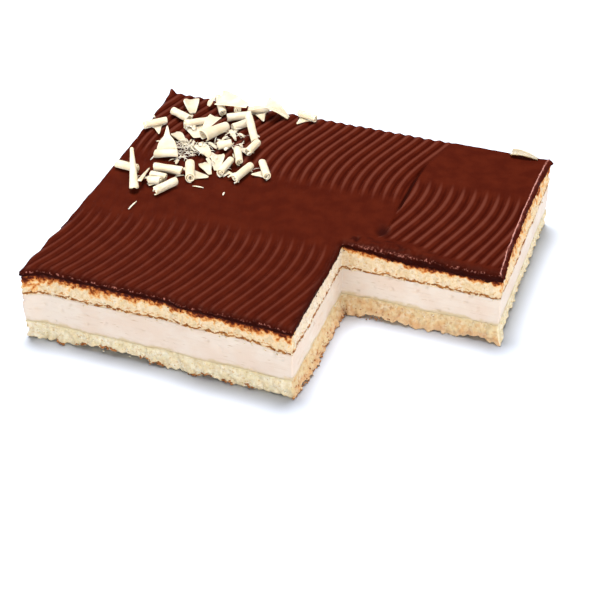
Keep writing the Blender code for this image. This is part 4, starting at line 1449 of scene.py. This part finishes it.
def add_chips(shape, draw):
    """Three bits at each place: a broad chip and two slivers that lean on it."""
    for x, y in CHIPS:
        for width in CHIP_WIDTHS:
            aside, along = draw.uniform(-2.4, 2.4), draw.uniform(-2.4, 2.4)
            spot = Vector((x + aside, y + along, CHIP_HEIGHT + draw.uniform(0, 2.2))) * MM
            turn, tip = draw.uniform(0, math.pi), draw.uniform(-0.5, 0.5)
            length = draw.uniform(3.5, 7) * MM
            wide = width * draw.uniform(0.7, 1.3) * MM
            add_shred(shape, spot, turn, tip, length, wide, draw.uniform(0.2, 1.2) * MM)


add_chips(nest, shred_draw)
print("points with the chips:", len(nest.verts))

# %% Loose slivers
# Each has its middle (mm), the way it points (degrees) and its length (mm).
SLIVERS = ((-61.8, 4.0, 3, 6.6), (-88.9, -25.1, 84, 8.6), (-45.4, 2.1, 96, 3.1), (-102.0, 41.6, 12, 4.0),
           (-98.5, 25.6, 83, 7.9), (-76.1, 11.1, 34, 5.6), (-66.9, 59.3, 40, 5.0),
           (-57.3, 62.9, 55, 3.9), (-60.7, 53.0, 88, 6.0), (-55.2, 42.1, -58, 5.0), (-117.0, 67.1, -45, 3.3))
SLIVER_WIDTH = 1.1 * MM
SLIVER_BEND = 0.3 * MM

for x, y, turn, length in SLIVERS:
    middle = Vector((x * MM, y * MM, icing_height(x * MM, y * MM) + 0.5 * MM))
    add_shred(nest, middle, math.radians(turn), 0.0, length * MM, SLIVER_WIDTH, SLIVER_BEND)
weld(nest, fill=True)
shreds = new_piece("white_shreds", nest, ivory)
lit_by_curl_lamp.link(shreds)

# %% [markdown]
# ## Crumbs
# Where the knife went through, crumbs hang on the walls and lie at the foot of the cake: pale ones from the
# sponge, orange-brown ones from the crust, and dark specks of icing. A crumb is a small ball of faces
# pulled about by noise. Each kind is one mesh, and the specks have the icing's own finish.


# %% Crumb tools
def add_crumb(shape, middle, size, draw):
    """A small lump, pulled out of round."""
    ball = bmesh.ops.create_icosphere(shape, subdivisions=2, radius=size / 2)["verts"]
    shift = Vector((draw.uniform(0, 99), draw.uniform(0, 99), draw.uniform(0, 99)))
    flat = Vector((draw.uniform(0.7, 1.2), draw.uniform(0.7, 1.2), draw.uniform(0.55, 0.9)))
    for vert in ball:
        pulled = 1 + 0.55 * noise.noise(vert.co / size * 2.2 + shift)
        vert.co = middle + vert.co * flat * pulled


def on_wall(wall, along, height, relief):
    """A point of a layer's uneven wall."""
    point = WallPoint(wall, along)
    spot = Vector((point.place.x, point.place.y, height))
    return point.moved(relief(point, spot, 0.5), height)


def scatter_on_walls(shape, count, low, high, sizes, draw):
    """Crumbs hung on every wall between two heights, more of them on the longer walls."""
    lengths = [wall_length(wall) for wall in WALLS]
    for _ in range(count):
        wall = draw.choices(WALLS, lengths)[0]
        along = draw.uniform(0, wall_length(wall))
        spot = on_wall(wall, along, draw.uniform(low, high), sponge_relief)
        add_crumb(shape, spot, draw.uniform(*sizes) * MM, draw)


# %% Pale crumbs
pale_draw = random.Random(21)
pale_crumbs = bmesh.new()
scatter_on_walls(pale_crumbs, 220, CREAM_TOP + 0.5 * MM, SPONGE_TOP - 4 * MM, (0.5, 1.3), pale_draw)
scatter_on_walls(pale_crumbs, 160, CREAM_TOP - 1 * MM, CREAM_TOP + 1.5 * MM, (0.5, 1.3), pale_draw)
scatter_on_walls(pale_crumbs, 220, 1.0 * MM, BASE_TOP, (0.5, 1.5), pale_draw)
new_piece("pale_crumbs", pale_crumbs, sponge_finish("pale_crumbs", browned=0.5))

# %% Toasted crumbs
# In front they hang along the torn rim, between these distances from its left end, in millimetres. In the
# cut they lie at the foot, up to a distance from the wall's start, and the last number is how many.
TOASTED_FOOT = ((16, 22), (28, 34), (41, 47), (47, 53), (66, 72), (72, 80), (94, 107), (113, 119), (126, 131))
CRUMBS_A_PATCH = 22
TOASTED_CUT = (("cut left", 79, 150), ("cut back", 30, 40))

brown_draw = random.Random(8)
brown_crumbs = bmesh.new()
for near, far in TOASTED_FOOT:
    for _ in range(CRUMBS_A_PATCH):
        along = brown_draw.uniform(near, far) * MM
        height = fine_tear(WallPoint("front", along).place) + brown_draw.uniform(0.2, 1.3) * MM
        spot = on_wall("front", along, height, base_relief)
        spot.y -= brown_draw.uniform(-0.3, 0.6) * MM
        add_crumb(brown_crumbs, spot, brown_draw.uniform(0.5, 1.4) * MM, brown_draw)
for wall, reach, count in TOASTED_CUT:
    for _ in range(count):
        height = 0.3 + 5 * brown_draw.random() ** 2.5
        spot = on_wall(wall, brown_draw.uniform(0, reach) * MM, height * MM, base_relief)
        add_crumb(brown_crumbs, spot, brown_draw.uniform(0.4, 1.1) * MM, brown_draw)

toasted = Finish("toasted_crumbs", roughness=0.8, gloss=0.2)
toasted.colour(paint(202, 138, 84))
toasted.lay(toasted.blots(2 * MM, 0.35, 0.65), paint(150, 90, 48))
toasted.relief((toasted.speckle(0.5 * MM), 0.2 * MM))
new_piece("toasted_crumbs", brown_crumbs, toasted)

# %% Specks of icing
dark_draw = random.Random(5)
specks = bmesh.new()
scatter_on_walls(specks, 90, SPONGE_TOP - 3 * MM, SPONGE_TOP - 0.2 * MM, (0.4, 1.0), dark_draw)
new_piece("icing_specks", specks, icing)
